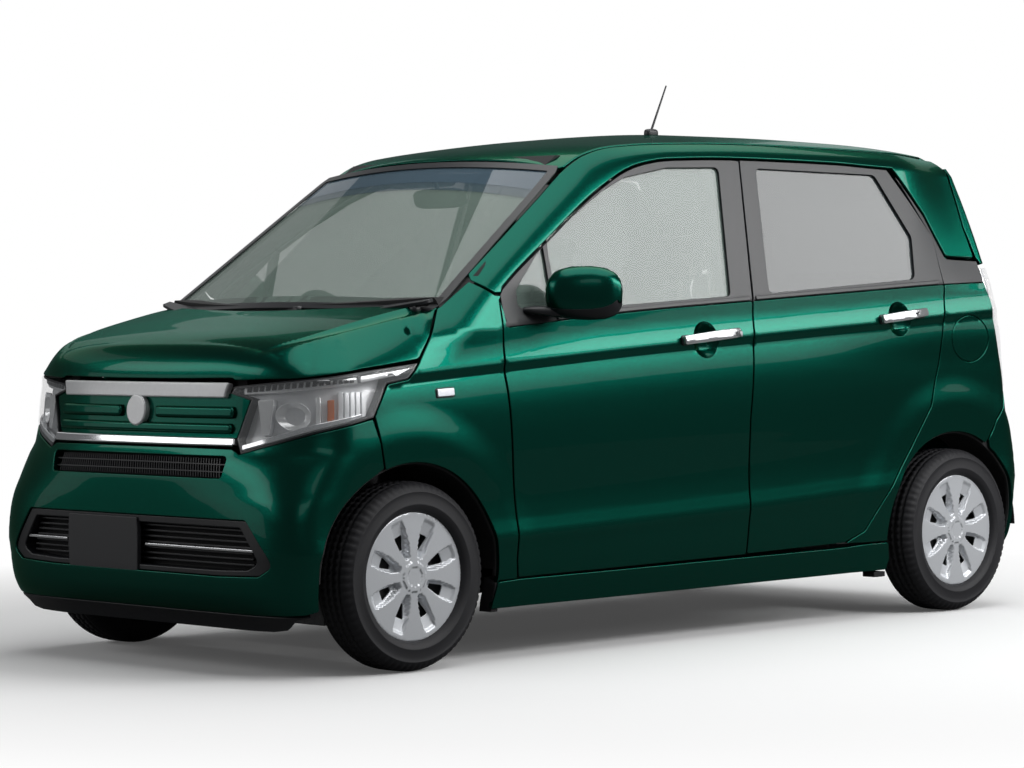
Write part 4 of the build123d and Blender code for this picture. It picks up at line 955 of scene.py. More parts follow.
def spoiler(x, y):
    """End of the roof over the rear window."""
    x, y = np.broadcast_arrays(np.asarray(x, float), np.asarray(y, float))
    top = roof(np.minimum(x, 2.60), y)
    return np.stack([x, y, top[..., 2] - np.maximum(x - 2.60, 0) * .16 - np.maximum(x - 2.60, 0) ** 2
        * 1.3], -1)


spoiler_loop = [(2.606, y) for y in np.linspace(-.488, .488, 9)] + [(2.72, .470), (2.752, .42)] + [
    (2.770 - .05 * y * y, y) for y in np.linspace(.36, -.36, 9)] + [(2.752, -.42), (2.72, -.470)]
piece("spoiler", sheet(spoiler_loop, spoiler, gap=.025, depth=.028, edge=.008, rings=4), PAINT, "tailgate")
piece("high_stop_lamp", sheet([(2.700, -.13), (2.700, .13), (2.745, .13), (2.745, -.13)],
    lowered(spoiler, .030), gap=.03, depth=.008, edge=.003), RED, "tailgate")
# Tail lamps
tail_lamp = [(2.704, 1.130), (2.756, .970), (2.804, .852), (2.832, .765, .01), (GATE - .008, .735, .02),
    (GATE - .009, 1.0), (GATE - .006, 1.183, .01), (2.716, 1.183, .006)]
both("tail_lamp_base", sheet(grow(tail_lamp, -.001), lowered(outer, .012), depth=.022, edge=.001, gap=.03),
    LAMP_CHROME, replaces=["tail_lamps"])
both("tail_lamp_lens", sheet(grow(tail_lamp, -.003), lowered(outer, -.003), depth=.003, edge=.003, gap=.02),
    LENS_PAINTED_SHEEN)
red_part = [(GATE - .095, .80, .01), (GATE - .018, .775, .01), (GATE - .020, 1.05, .01),
    (GATE - .105, 1.05, .01)]
both("tail_lamp_red", sheet(red_part, lowered(outer, .002), depth=.010, edge=.003, gap=.02), RED)
amber_part = [(GATE - .104, 1.065, .01), (GATE - .020, 1.065, .01), (GATE - .022, 1.125, .01),
    (GATE - .11, 1.125, .01)]
both("tail_lamp_amber", sheet(amber_part, lowered(outer, .002), depth=.010, edge=.003, gap=.02), AMBER)
upper = [(2.712, 1.195), (GATE - .006, 1.195), (GATE - .004, 1.53), (2.708, 1.53), (2.682, 1.325),
    (2.696, 1.215)]
both("rear_pillar_skin", sheet(upper, outer, gap=.025), PAINT)
# Rear bumper
rear_half = [(x, .202) for x in (A_TAIL, 3.2, 2.97)] + [(2.87, .212, .02)] + [p
    for p in REAR_ARC_LOOP[::-1] if p[0] > 2.682 and p[1] > .235] + [(2.682, .585), (2.733, .652),
    (2.802, .694), (2.838, .752, .004), (GATE - .010, .722, .02), (GATE + .012, .604, .02)]
rear_loop = across_tail(rear_half)[:-1]
piece("bumper_rear", sheet(rear_loop, outer, gap=.022, edge=.003), PAINT, replaces=["rear_bumper"])
piece("bumper_rear_insert", sheet(across_tail([(A_TAIL - .50, .215, .01), (A_TAIL - .46, .285, .02)]),
    lowered(outer, -.004), depth=.016, edge=.003, gap=.03), BLACK)
for side, sign in (("left", 1), ("right", -1)):
    centre = A_TAIL - sign * .52
    piece(f"reflector_{side}", sheet([(centre - .035, .335, .01), (centre + .035, .335, .01),
        (centre + .035, .362, .01), (centre - .035, .362, .01)], lowered(outer, -.003), depth=.012,
        edge=.003, gap=.02), RED)

# Wheels

HUB_Z = .2785
TYRE_PROFILE = [(.188, .7060), (.192, .7160), (.200, .7235), (.2105, .7262), (.2125, .7272), (.2145, .7262),
    (.235, .7278), (.2475, .7258), (.2490, .7268), (.2510, .7252), (.262, .7190), (.2705, .7095),
    (.2755, .6990), (.2772, .6935), (.2700, .6920), (.2700, .6870), (.2782, .6858), (.2785, .6660),
    (.2715, .6650), (.2715, .6590), (.2785, .6580), (.2785, .6420), (.2715, .6410), (.2715, .6350),
    (.2785, .6340), (.2782, .6142), (.2700, .6130), (.2700, .6080), (.2772, .6065), (.2755, .6010),
    (.2705, .5905), (.262, .5810), (.2500, .5745), (.235, .5722), (.2125, .5735), (.200, .5765),
    (.192, .5840), (.188, .5940)]


def tyre_shape(slots=72, per=4):
    """Tyre about the origin's y axis, with grooves round it and slots across its shoulders."""
    n = slots * per
    verts, faces = [], []
    count = len(TYRE_PROFILE)
    for k in range(n):
        t = 2 * pi * k / n
        for i, (r, y) in enumerate(TYRE_PROFILE):
            if k % per == 0 and (10 <= i <= 12 or count - 13 <= i <= count
                    - 11 or i in (16, 17) or i in (20, 21) or i in (24, 25)):
                r -= .0045
            verts.append((r * cos(t), -y, r * sin(t)))
    for k in range(n):
        j = (k + 1) % n
        for i in range(count):
            m = (i + 1) % count
            faces.append((k * count + i, k * count + m, j * count + m, j * count + i))
    return np.array(verts), faces


def cover_face(u, v):
    """Wheel cover: eight flat spokes that widen to the rim, with sloping pockets between them."""
    u, v = np.broadcast_arrays(np.asarray(u, float), np.asarray(v, float))
    r = np.hypot(u, v)
    t = np.arctan2(v, u)
    pitch = pi / 4
    off = np.abs((t - pi / 2 + pitch / 2) % pitch - pitch / 2) * r
    half = .0155 + .040 * np.clip((r - .055) / .135, 0, 1) ** 1.9
    pocket = ease((off - half + .002) / .006) * ease((r - .056) / .006) * ease((.176 - r) / .012)
    deep = .024 * np.clip((.192 - r) / .115, 0, 1) ** .85
    rim = .008 * ease((r - .186) / .010)
    hub = -.004 * ease((.046 - r) / .003) + .0025 * ease((.030 - r) / .003)
    return np.stack([u, -(.7120 - pocket * deep - rim - hub - .010 * (r / .195) ** 2 * .3), v], -1)


def cover_shape():
    """Wheel cover with its eight windows."""
    rim = [(.1925 * cos(t), .1925 * sin(t)) for t in np.linspace(0, 2 * pi, 97)[:-1]]
    holes = []
    for k in range(8):
        t = pi / 8 + k * pi / 4
        points = [(.082, -.0065, .003), (.128, -.0175, .006), (.128, .0175, .006), (.082, .0065, .003)]
        holes.append([(a * cos(t) - b * sin(t), a * sin(t) + b * cos(t), c) for a, b, c in points])
    return sheet(rim, cover_face, holes=holes, depth=.004, edge=.0012, gap=.0055)


def backing_shape():
    """Dark drum and rim well behind the cover."""
    profile = [(.0, .690), (.060, .690), (.064, .672), (.120, .668), (.172, .664), (.180, .690),
        (.186, .702), (.190, .702), (.190, .600), (.172, .600), (.165, .640), (.05, .640), (.0, .640)]
    verts, faces, n = [], [], 64
    for k in range(n):
        t = 2 * pi * k / n
        verts += [(r * cos(t), -y, r * sin(t)) for r, y in profile[1:-1]]
    m = len(profile) - 2
    verts += [(0, -profile[0][1], 0), (0, -profile[-1][1], 0)]
    for k in range(n):
        j = (k + 1) % n
        faces += [(k * m + i, k * m + i + 1, j * m + i + 1, j * m + i) for i in range(m - 1)]
        faces += [(n * m, k * m, j * m), (n * m + 1, j * m + m - 1, k * m + m - 1)]
    return np.array(verts), faces


def faced_out(verts, faces):
    """Turns all faces over if the closed mesh is inside out."""
    volume = sum(np.dot(verts[f[0]], np.cross(verts[f[i]], verts[f[i + 1]])) for f in faces
        for i in range(1, len(f) - 1))
    return faces if volume > 0 else [f[::-1] for f in faces]


tyre_v, tyre_f = tyre_shape()
tyre_f = faced_out(tyre_v, tyre_f)
cover_v, cover_f, cover_n = cover_shape()
back_v, back_f = backing_shape()
back_f = faced_out(back_v, back_f)
for place, station in (("front", 0.), ("rear", WHEELBASE)):
    at = np.array([station, 0, HUB_Z])
    both(f"tyre_skin_{place}", (tyre_v + at, tyre_f, None), TYRE, f"wheel_{place}_{{side}}",
        replaces=[f"tyre_{place}_{{side}}"])
    both(f"wheel_cover_{place}", (cover_v + at, cover_f, cover_n), SILVER, f"wheel_{place}_{{side}}",
        replaces=[f"rim_{place}_{{side}}"])
    both(f"wheel_back_{place}", (back_v + at, back_f, None), CAST, f"wheel_{place}_{{side}}")

# Mirrors, handles, wipers, antenna


def loft(loops):
    """Closed mesh through closed loops of the same count, with a fan on each end."""
    count, n = len(loops), len(loops[0])
    verts = np.concatenate([*[np.asarray(p, float) for p in loops], [np.mean(loops[0], 0)],
        [np.mean(loops[-1], 0)]])
    faces = [(i * n + k, i * n + (k + 1) % n, (i + 1) * n + (k + 1) % n, (i + 1) * n + k)
             for i in range(count - 1) for k in range(n)]
    faces += [(count * n, (k + 1) % n, k) for k in range(n)]
    faces += [(count * n + 1, (count - 1) * n + k, (count - 1) * n + (k + 1) % n) for k in range(n)]
    return verts, faced_out(verts, faces)


def turned(v, look):
    """Rotation matrix from angles in degrees about x, y and z."""
    rx, ry, rz = (radians(t) for t in look)
    x = np.array([[1, 0, 0], [0, cos(rx), -sin(rx)], [0, sin(rx), cos(rx)]])
    y = np.array([[cos(ry), 0, sin(ry)], [0, 1, 0], [-sin(ry), 0, cos(ry)]])
    z = np.array([[cos(rz), -sin(rz), 0], [sin(rz), cos(rz), 0], [0, 0, 1]])
    return np.asarray(v) @ (z @ y @ x).T


def pod(centre, half, soft=.35, turn=(0, 0, 0), n=28, m=15):
    """Rounded block: soft near 0 has crisp corners, 1 is an ellipsoid."""
    def power(t):
        return np.sign(t) * np.abs(t) ** soft
    loops = []
    for b in np.linspace(-pi / 2 + .06, pi / 2 - .06, m):
        t = 2 * pi * np.arange(n) / n + pi / n
        ring = np.stack([power(np.cos(t)) * power(np.cos(b)), power(np.sin(t)) * power(np.cos(b)),
            np.full(n, power(np.sin(b)))], -1)
        loops.append(turned(ring * half, turn) + centre)
    return loft(loops)


def tube(path, radius, n=12, flat=1.):
    """Round bar along points. Radius is one number or one for each point; flat squeezes it in height."""
    path = np.asarray(path, float)
    radius = np.broadcast_to(radius, len(path))
    along = np.gradient(path, axis=0)
    along /= np.linalg.norm(along, axis=1, keepdims=True)
    loops = []
    side = np.cross(along[0], (0, 0, 1.) if abs(along[0][2]) < .9 else (1., 0, 0))
    for p, d, r in zip(path, along, radius):
        side = side - d * (side @ d)
        side /= np.linalg.norm(side)
        up = np.cross(side, d)
        t = 2 * pi * np.arange(n) / n
        loops.append(p + r * (np.cos(t)[:, None] * side + flat * np.sin(t)[:, None] * up))
    return loft(loops)


def solid(name, shape, look, body="body", slot=None, replaces=(), sharp=38.):
    """A closed mesh as a piece, smooth except at sharp edges."""
    obj = piece(name, shape, look, body, slot, replaces)
    obj.data.set_sharp_from_angle(angle=radians(sharp))
    return obj


def pair(name, shape, look, body="body", slot=None, replaces=(), sharp=38.):
    """A closed mesh as a piece on each side."""
    for obj in both(name, shape, look, body, slot, replaces):
        obj.data.set_sharp_from_angle(angle=radians(sharp))


MIRROR_RINGS = [(.728, .577, .040, 1.096, .040), (.738, .582, .060, 1.100, .060),
    (.755, .592, .074, 1.103, .073), (.785, .607, .079, 1.104, .080), (.825, .624, .070, 1.103, .081),
    (.862, .640, .055, 1.101, .077), (.888, .653, .040, 1.099, .066), (.902, .661, .026, 1.098, .050),
    (.910, .666, .012, 1.098, .028)]


def mirror_ring(y, x, half_x, z, half_z, start=0., end=2 * pi, n=48, out=0.):
    """Squarish ring, or part of one, round the mirror at a distance from the middle."""
    t = np.linspace(start, end, n, endpoint=end - start < 6.2)
    px = np.sign(np.cos(t)) * np.abs(np.cos(t)) ** .78
    pz = np.sign(np.sin(t)) * np.abs(np.sin(t)) ** .78
    return np.stack([x + (half_x + out) * px, np.full(n, -y), z + (half_z + out) * pz], -1)


pair("mirror_shell", loft([mirror_ring(*r) for r in MIRROR_RINGS]), PAINT, "door_front_{side}",
    replaces=["door_front_{side}_fittings"], sharp=60.)
lower = [np.concatenate([mirror_ring(*r, start=radians(212), end=radians(328), n=28, out=.0015),
    mirror_ring(*r, start=radians(212), end=radians(328), n=28, out=-.002)[::-1]]) for r in MIRROR_RINGS]
pair("mirror_tray", loft(lower), BLACK, "door_front_{side}")


def mirror_face(steps):
    """Disc of the mirror's rim or glass, through rings of a depth and a scale each."""
    ring = mirror_ring(0, 0, .066, 0, .060, n=40)
    return loft([np.stack([.673 + back + .10 * ring[:, 0], -.822 + ring[:, 0] * scale,
        1.102 + ring[:, 2] * scale], -1) for back, scale in steps])


pair("mirror_rim", mirror_face(((.0, .97), (.004, 1.), (.006, .97))), BLACK, "door_front_{side}")
pair("mirror_glass", mirror_face(((.005, .86), (.0075, .88), (.008, .86))), CHROME, "door_front_{side}")
foot = []
for y, x, half_x, z, half_z in ((.690, .520, .055, 1.052, .012), (.712, .525, .055, 1.052, .013),
        (.732, .540, .050, 1.050, .014), (.758, .572, .042, 1.046, .018), (.785, .595, .036, 1.050, .020)):
    foot.append(mirror_ring(y, x, half_x, z, half_z, n=28))
pair("mirror_foot", loft(foot), BLACK, "door_front_{side}", sharp=60.)


def cup(a0, z0, radius=CUP_RADIUS + .001, deep=.024):
    """Hollow behind a door handle."""
    def surface(a, z):
        r = np.clip(np.hypot(np.asarray(a) - a0, np.asarray(z) - z0) / radius, 0, 1)
        return outer(a, z) - normal(outer, a, z) * (.002 + deep * (1 - r**2.4))[..., None]
    return surface


BARS = {"front": ((1.1315, .9495), (1.3962, .9711)), "rear": ((2.1013, 1.005), (2.3414, 1.0262))}
for place, (ca, cz) in CUPS.items():
    body = f"door_{place}_{{side}}"
    both(f"handle_cup_{place}", sheet(disc(ca, cz, CUP_RADIUS + .0025), cup(ca, cz), gap=.007, depth=.003,
        edge=.0015), PAINT, body)
    (a0, z0), (a1, z1) = BARS[place]
    bar = [(a0, z0 - .0125, .008), (a1, z1 - .0135, .010), (a1, z1 + .0135, .010), (a0, z0 + .0125, .008)]
    reach = lambda a, z, a0=a0, a1=a1: outer(a, z) + normal(outer, a, z) * (.021 + .010
        * np.clip(1 - ((np.asarray(a) - (a0 + a1) / 2) / ((a1 - a0) / 2)) ** 2, 0, 1))[..., None]
    both(f"handle_bar_{place}", sheet(bar, reach, gap=.010, depth=.013, edge=.0055, rings=5), CHROME, body,
        replaces=["door_rear_{side}_fittings"] if place == "rear" else ())
    ends = []
    for e0, e1 in ((a0 + .002, a0 + .040), (a1 - .052, a1 - .002)):
        f0, f1 = (z0 + (z1 - z0) * (e - a0) / (a1 - a0) for e in (e0, e1))
        ends.append(sheet([(e0, f0 - .0165, .010), (e1, f1 - .0165, .010), (e1, f1 + .0165, .010),
            (e0, f0 + .0165, .010)], lowered(outer, -.004), gap=.02, depth=.008, edge=.003))
        ends.append(sheet([(e0 + .004, f0 - .010, .006), (e1 - .004, f1 - .010, .006),
            (e1 - .004, f1 + .010, .006), (e0 + .004, f0 + .010, .006)], lowered(outer, -.016), gap=.02,
            depth=.016, edge=.002))
    both(f"handle_ends_{place}", merged(*ends), BLACK, body)
both("key_place", sheet(disc(1.3787, .9652, .0065, n=20), lowered(outer, -.0325), gap=.004, depth=.003,
    edge=.001), STEEL, "door_front_{side}")
both("side_indicator_base", sheet([(.085, .796, .006), (.160, .799, .006), (.160, .830, .006),
    (.085, .827, .006)], lowered(outer, -.001), gap=.01, depth=.006, edge=.002), BLACK)
both("side_indicator", sheet([(.088, .799, .006), (.157, .802, .006), (.157, .827, .006),
    (.088, .824, .006)], lowered(outer, -.006), gap=.008, depth=.006, edge=.003), SATIN, slot="lamp")

# Wipers over the screen's foot
blades, arms = [], []
for y0, y1, s0, s1, pivot in ((.49, -.16, .030, .014, -.13), (-.19, -.605, .012, .052, -.585)):
    ys, ss = np.linspace(y0, y1, 14), np.linspace(s0, s1, 14)
    blades.append(tube(lowered(screen, -.010)(ys, ss), .0075, 10, .8))
    blades.append(tube(lowered(screen, -.019)(ys[1:-1], ss[1:-1]), .0045, 8))
    middle = (y0 + y1) / 2
    pivot_at = np.array([.060 + .20 * pivot**2, pivot, 1.058])
    tip = lowered(screen, -.026)(np.array([middle]), np.array([(s0 + s1) / 2]))[0]
    bend = (pivot_at + tip) / 2 + (0, 0, .018)
    t = np.linspace(0, 1, 12)[:, None]
    arms.append(tube(pivot_at * (1 - t) ** 2 + bend * 2 * t * (1 - t) + tip * t * t,
        np.linspace(.011, .006, 12), 10, .7))
    arms.append(pod(pivot_at, (.018, .018, .014), .7))
solid("wiper_blades", merged(*blades), RUBBER)
solid("wiper_arms", merged(*arms), BLACK)
# Antenna on its foot
root, tip = np.array([1.500, -.25, 1.640]), np.array([1.575, -.25, 1.7935])
steps = np.linspace(0, 1, 12)[:, None]
solid("antenna_mast", merged(pod(root - (0, 0, .008), (.026, .015, .016), .6),
    tube(root + (tip - root) * steps, np.linspace(.0042, .0026, 12), 12)), BLACK, replaces=["antenna"])

# Floor and arches

def arch_tunnel(cx, cz, radius, inner, outside, start=178, end=2, thick=.004, n=40):
    """Curved lining over a wheel, from the outside inward."""
    loops = []
    for y, r in ((outside, radius), (inner, radius), (inner, radius + thick), (outside, radius + thick)):
        loops.append([(cx + r * cos(radians(t)), -y, cz + r * sin(radians(t)))
            for t in np.linspace(start, end, n)])
    loops = np.array(loops)
    verts = loops.reshape(-1, 3)
    faces = []
    for i in range(4):
        j = (i + 1) % 4
        faces += [(i * n + k, i * n + k + 1, j * n + k + 1, j * n + k) for k in range(n - 1)]
    faces += [tuple(i * n for i in range(4)), tuple(i * n + n - 1 for i in range(4))[::-1]]
    return verts, faced_out(verts, faces)


for place, centre, lip in (("front", FRONT_ARCH, .340), ("rear", REAR_ARCH, .342)):
    band = arc(*centre, lip + .032, 182, -2, 36) + arc(*centre, lip, -2, 182, 36)
    both(f"arch_liner_{place}", sheet(band, lowered(outer, .012), gap=.02, depth=.010, edge=.002), UNDER)
pair("arch_tunnel_front", arch_tunnel(*FRONT_ARCH, .347, .585, .712), UNDER)
pair("arch_tunnel_rear", arch_tunnel(*REAR_ARCH, .352, .540, .712), UNDER)


def slab(profile, half, round_edge=.006, ribs=()):
    """Side profile drawn across the car, with extra sections across it at the places given in ribs."""
    loop = resampled(rounded(profile), .05)
    if area(loop) < 0:
        loop = loop[::-1]
    loops = []
    for y, inset in ((-half, round_edge), (-half + round_edge, 0), *[(r, 0) for r in ribs],
            (half - round_edge, 0), (half, round_edge)):
        q = shifted(loop, inset) if inset else loop
        loops.append([(x, y, z) for x, z in q])
    return loft(np.array(loops))


pan = [(.33, .36), (.36, .36), (.50, .222), (1.62, .222), (1.76, .38), (2.10, .50), (2.79, .505),
    (2.79, .492), (2.11, .485), (1.78, .36), (1.64, .190), (.47, .185)]
lining = [(.40, .36), (.52, .240), (1.60, .240), (1.74, .395), (1.84, .43), (1.84, .418), (1.75, .38),
    (1.615, .226), (.51, .226), (.385, .355)]
solid("floor_sheet", slab(pan, .48), UNDER, replaces=["floor_pan"])
sides = [(.46, .190), (.46, .235), (1.95, .235), (1.95, .190)]
for side, sign in (("left", -1), ("right", 1)):
    verts, faces = slab(sides, .105)
    solid(f"floor_side_{side}", (verts + (0, sign * .583, 0), faces), UNDER)
solid("cabin_carpet", slab(lining, .475), CARPET)
ribs = [tube([(x, y, .181) for x in np.linspace(.60, 1.56, 12)], .008, 8)
    for y in (-.40, -.28, -.16, .16, .28, .40)]
solid("floor_ribs", merged(*ribs), UNDER)

# Cabin


def grown_profile(profile, half, soft=.030, count=7, gap=.03):
    """Closed cushion-like form: a side profile drawn across, drawn in towards its ends."""
    loop = resampled(rounded(profile), gap)
    if area(loop) < 0:
        loop = loop[::-1]
    loops = []
    for k in range(count + 1):
        angle = pi / 2 * k / count
        loops.append([(x, -half + soft * (1 - sin(angle)), z) for x, z in shifted(loop,
            soft * (1 - cos(pi / 2 - angle)) * .999 + 1e-5)])
    right = [[(x, -y, z) for x, y, z in ring] for ring in loops[::-1]]
    inner = [[(x, y, z) for x, z in loop] for y in np.linspace(-half + soft, half - soft, 9)[1:-1]]
    return loft(np.array(loops + inner + right))


def swollen(name, shape, voxel, cap, grooves=(), pressure=4.):
    """Pad under its own air pressure: remeshed, inflated as cloth, capped, then drawn in at its seams."""
    mesh = bpy.data.meshes.new(name)
    mesh.from_pydata(np.asarray(shape[0]).tolist(), [], shape[1])
    obj = bpy.data.objects.new(name + "_start", mesh)
    bpy.context.scene.collection.objects.link(obj)
    remesh = obj.modifiers.new("voxels", "REMESH")
    remesh.mode, remesh.voxel_size = "VOXEL", voxel
    even = bpy.data.meshes.new_from_object(obj.evaluated_get(bpy.context.evaluated_depsgraph_get()))
    obj.modifiers.clear()
    obj.data = even
    count = len(even.vertices)
    rest = np.empty(count * 3)
    even.vertices.foreach_get("co", rest)
    rest = rest.reshape(-1, 3)
    moved = rest
    cloth = obj.modifiers.new("cloth", "CLOTH")
    cloth.settings.quality = 4
    cloth.settings.use_pressure = True
    cloth.settings.uniform_pressure_force = pressure
    cloth.settings.effector_weights.gravity = 0
    cloth.point_cache.frame_start, cloth.point_cache.frame_end = 1, 20
    for step in range(1, 21):
        bpy.context.scene.frame_set(step)
    got = obj.evaluated_get(bpy.context.evaluated_depsgraph_get()).to_mesh()
    moved = np.empty(count * 3)
    got.vertices.foreach_get("co", moved)
    moved = moved.reshape(-1, 3)
    away = moved - rest
    far = np.linalg.norm(away, axis=1, keepdims=True)
    moved = rest + away * np.minimum(1, cap / np.maximum(far, 1e-9))
    obj.modifiers.clear()
    bpy.context.scene.frame_set(1)
    even.vertices.foreach_set("co", moved.ravel())
    even.update()
    out = np.empty(count * 3)
    even.vertices.foreach_get("normal", out)
    out = out.reshape(-1, 3)
    for groove in grooves:
        across, deep, wide = groove(moved)
        moved = moved - out * (deep * np.exp(-(across / wide) ** 2))[:, None]
    faces = [tuple(p.vertices) for p in even.polygons]
    bpy.data.objects.remove(obj)
    return moved, faces


def seam(axis, at, deep=.005, wide=.005, where=None):
    """A sewn channel at one place along an axis."""
    def line(v):
        near = np.abs(v[:, axis] - at)
        if where is not None:
            near = np.where(where(v), near, 9.)
        return near, deep, wide
    return line


def pads(name, shape, places, cap, grooves, replaces=(), voxel=.009):
    """One inflated pad, used at each place across the car."""
    verts, faces = swollen(name, shape, voxel, cap, grooves)
    for k, (stem, y) in enumerate(places):
        obj = piece(f"{name}_{stem}", (verts + (0, y, 0), faces), FABRIC, replaces=() if k else replaces)


SEATS = (("left", -.305), ("right", .305))
bolsters = [seam(1, .135), seam(1, -.135)]
cushion = [(.915, .420, .02), (.925, .540, .05), (1.37, .525, .03), (1.385, .425, .02), (1.20, .405),
    (.97, .405)]
pads("front_cushion", grown_profile(cushion, .228), SEATS, .024, bolsters + [seam(0, 1.08,
    where=lambda v: (np.abs(v[:, 1]) < .135) & (v[:, 2] > .5)), seam(0, 1.24,
    where=lambda v: (np.abs(v[:, 1]) < .135) & (v[:, 2] > .5))], ["front_seats"])
back = [(1.340, .545, .02), (1.405, .560, .03), (1.548, 1.075, .03), (1.495, 1.100, .03), (1.430, .96),
    (1.345, .72)]
pads("front_backrest", grown_profile(back, .220), SEATS, .022,
     bolsters + [seam(2, .78, where=lambda v: (np.abs(v[:, 1]) < .135) & (v[:, 0] < 1.44)),
                 seam(2, .95, where=lambda v: (np.abs(v[:, 1]) < .135) & (v[:, 0] < 1.49))])
headrest = [(1.500, 1.150, .02), (1.575, 1.145, .02), (1.600, 1.285, .03), (1.545, 1.305, .03)]
pads("front_headrest", grown_profile(headrest, .108, .025), SEATS, .010, [seam(0, 1.568, .003, .003)])
bench = [(1.895, .440, .02), (1.905, .540, .04), (2.20, .528, .03), (2.225, .445, .02)]
halves = [seam(1, 0, .007, .005), seam(1, .40, .004), seam(1, -.40, .004)]
pads("rear_cushion", grown_profile(bench, .575), (("bench", 0.),), .022, halves + [
    seam(0, 2.04, where=lambda v: (np.abs(v[:, 1]) < .40) & (v[:, 2] > .5))], ["rear_seat"], .012)
rest = [(2.205, .540, .02), (2.265, .560, .03), (2.372, .985, .03), (2.310, 1.000, .03), (2.235, .78)]
pads("rear_backrest", grown_profile(rest, .575), (("bench", 0.),), .022, halves + [
    seam(2, .78, where=lambda v: (np.abs(v[:, 1]) < .40) & (v[:, 0] < 2.30))], (), .012)
low_rest = [(2.318, 1.000, .015), (2.375, .995, .015), (2.388, 1.075, .02), (2.345, 1.085, .02)]
pads("rear_headrest", grown_profile(low_rest, .105, .020), (("left", -.29), ("right", .29)), .008, [])
for name, y in SEATS:
    stays = [tube([(1.515 + .04 * t, y + s * .045, 1.085 + .11 * t) for t in np.linspace(0, 1, 6)], .006,
        12) for s in (-1, 1)]
    solid(f"headrest_stays_{name}", merged(*stays), CHROME)
    rails = [pod((1.15, y + s * .19, .262), (.26, .014, .014), .3) for s in (-1, 1)]
    legs = [pod((x, y + s * .19, .335), (.022, .012, .075), .3, (0, 12 if x > 1.1 else -12, 0))
        for s in (-1, 1) for x in (1.0, 1.32)]
    solid(f"seat_rails_{name}", merged(*rails, *legs), STEEL)
    covers = [pod((1.20, y + s * .238, .405), (.20, .010, .036), .3) for s in (-1, 1)]
    covers.append(pod((1.375, y + .242, .53), (.045, .012, .045), .7))
    solid(f"seat_side_covers_{name}", merged(*covers), CABIN)
solid("rear_seat_base", merged(pod((2.06, 0, .365), (.17, .555, .060), .25),
    pod((2.36, 0, .55), (.03, .56, .06), .4)), CABIN)

# Steering wheel
WHEEL_AT, WHEEL_TURN = np.array([.598, .33, .948]), (0, 66, 0)
loops = []
for k in range(64):
    t = 2 * pi * k / 64
    c, s = cos(t), sin(t)
    thick = .0135 + .0018 * (cos(4 * t) > .7)
    loops.append([((.176 + thick * cos(u)) * c, (.176 + thick * cos(u)) * s, thick * .95 * sin(u))
                  for u in 2 * pi * np.arange(14) / 14])
torus = np.array(loops).reshape(-1, 3)
ring_faces = [(k * 14 + i, k * 14 + (i + 1) % 14, (k + 1) % 64 * 14 + (i + 1) % 14, (k + 1) % 64 * 14 + i)
              for k in range(64) for i in range(14)]
rim = (torus, faced_out(torus, ring_faces))
hub = pod((0, 0, -.012), (.062, .070, .026), .55)
spokes = []
for angle in (0, 180, 90):
    c, s = cos(radians(angle)), sin(radians(angle))
    t = np.linspace(0, 1, 8)
    spokes.append(tube([((.05 + .118 * k) * s, (.05 + .118 * k) * c, -.016 + .014 * k) for k in t],
        .020 - .008 * t, 12, .42))
wheel_v, wheel_f, _ = merged(rim, hub, *spokes)
solid("steering_wheel_ring", (turned(wheel_v, WHEEL_TURN) + WHEEL_AT, wheel_f), CABIN,
    replaces=["steering_wheel"])
axis = turned(np.array([[0, 0, -1.]]), WHEEL_TURN)[0]
column = [WHEEL_AT + axis * k for k in np.linspace(.02, .17, 8)]
solid("steering_column", tube(column, np.linspace(.040, .050, 8), 20, .8), CABIN)
stalks = [tube([WHEEL_AT + axis * .060 + np.array([0, s * (.04 + .11 * t), .01 + .012 * t])
    for t in np.linspace(0, 1, 6)], np.linspace(.006, .009, 6), 10) for s in (-1, 1)]
solid("column_stalks", merged(*stalks), CABIN)
# Dashboard fittings
solid("gauge_hood", merged(pod((.470, .33, 1.045), (.065, .150, .020), .45),
    pod((.545, .33, 1.000), (.012, .135, .042), .4)), CABIN)
vents = [pod((.548, y, .975), (.014, .050, .026), .3) for y in (-.52, -.10, .10, .54)]
slats = [pod((.561, y, z), (.004, .043, .0028), .4) for y in (-.52, -.10, .10, .54)
    for z in (.960, .970, .980, .990)]
solid("dash_vents", merged(*vents), GLOSS_BLACK, slot="gloss_trim")
solid("dash_vent_slats", merged(*slats), SATIN)
solid("dash_screen", pod((.560, 0, .900), (.008, .098, .050), .2), GLOSS_BLACK, slot="gloss_trim")
dials = [tube([(.545 + .016 * t, y, .828) for t in (0, .5, 1)], .016, 20) for y in (-.06, 0, .06)]
solid("dash_dials", merged(*dials), SATIN)
solid("dash_shelf", merged(pod((.520, -.33, .860), (.030, .20, .012), .3),
    pod((.500, -.33, .775), (.032, .20, .055), .25)), CABIN)
solid("gear_lever", merged(tube([(.520 + .055 * t, .02, .790 + .05 * t) for t in np.linspace(0, 1, 5)],
    .007, 10), pod((.580, .02, .850), (.020, .020, .028), .7)), CABIN)
pedals = [pod((.455, y, .38), (.008, .028, .036), .4, (0, -25, 0)) for y in (.30, .42)]
pedals += [tube([(.44 - .03 * t, y, .41 + .12 * t) for t in np.linspace(0, 1, 5)], .006, 8)
    for y in (.30, .42)]
solid("pedals", merged(*pedals), RUBBER)
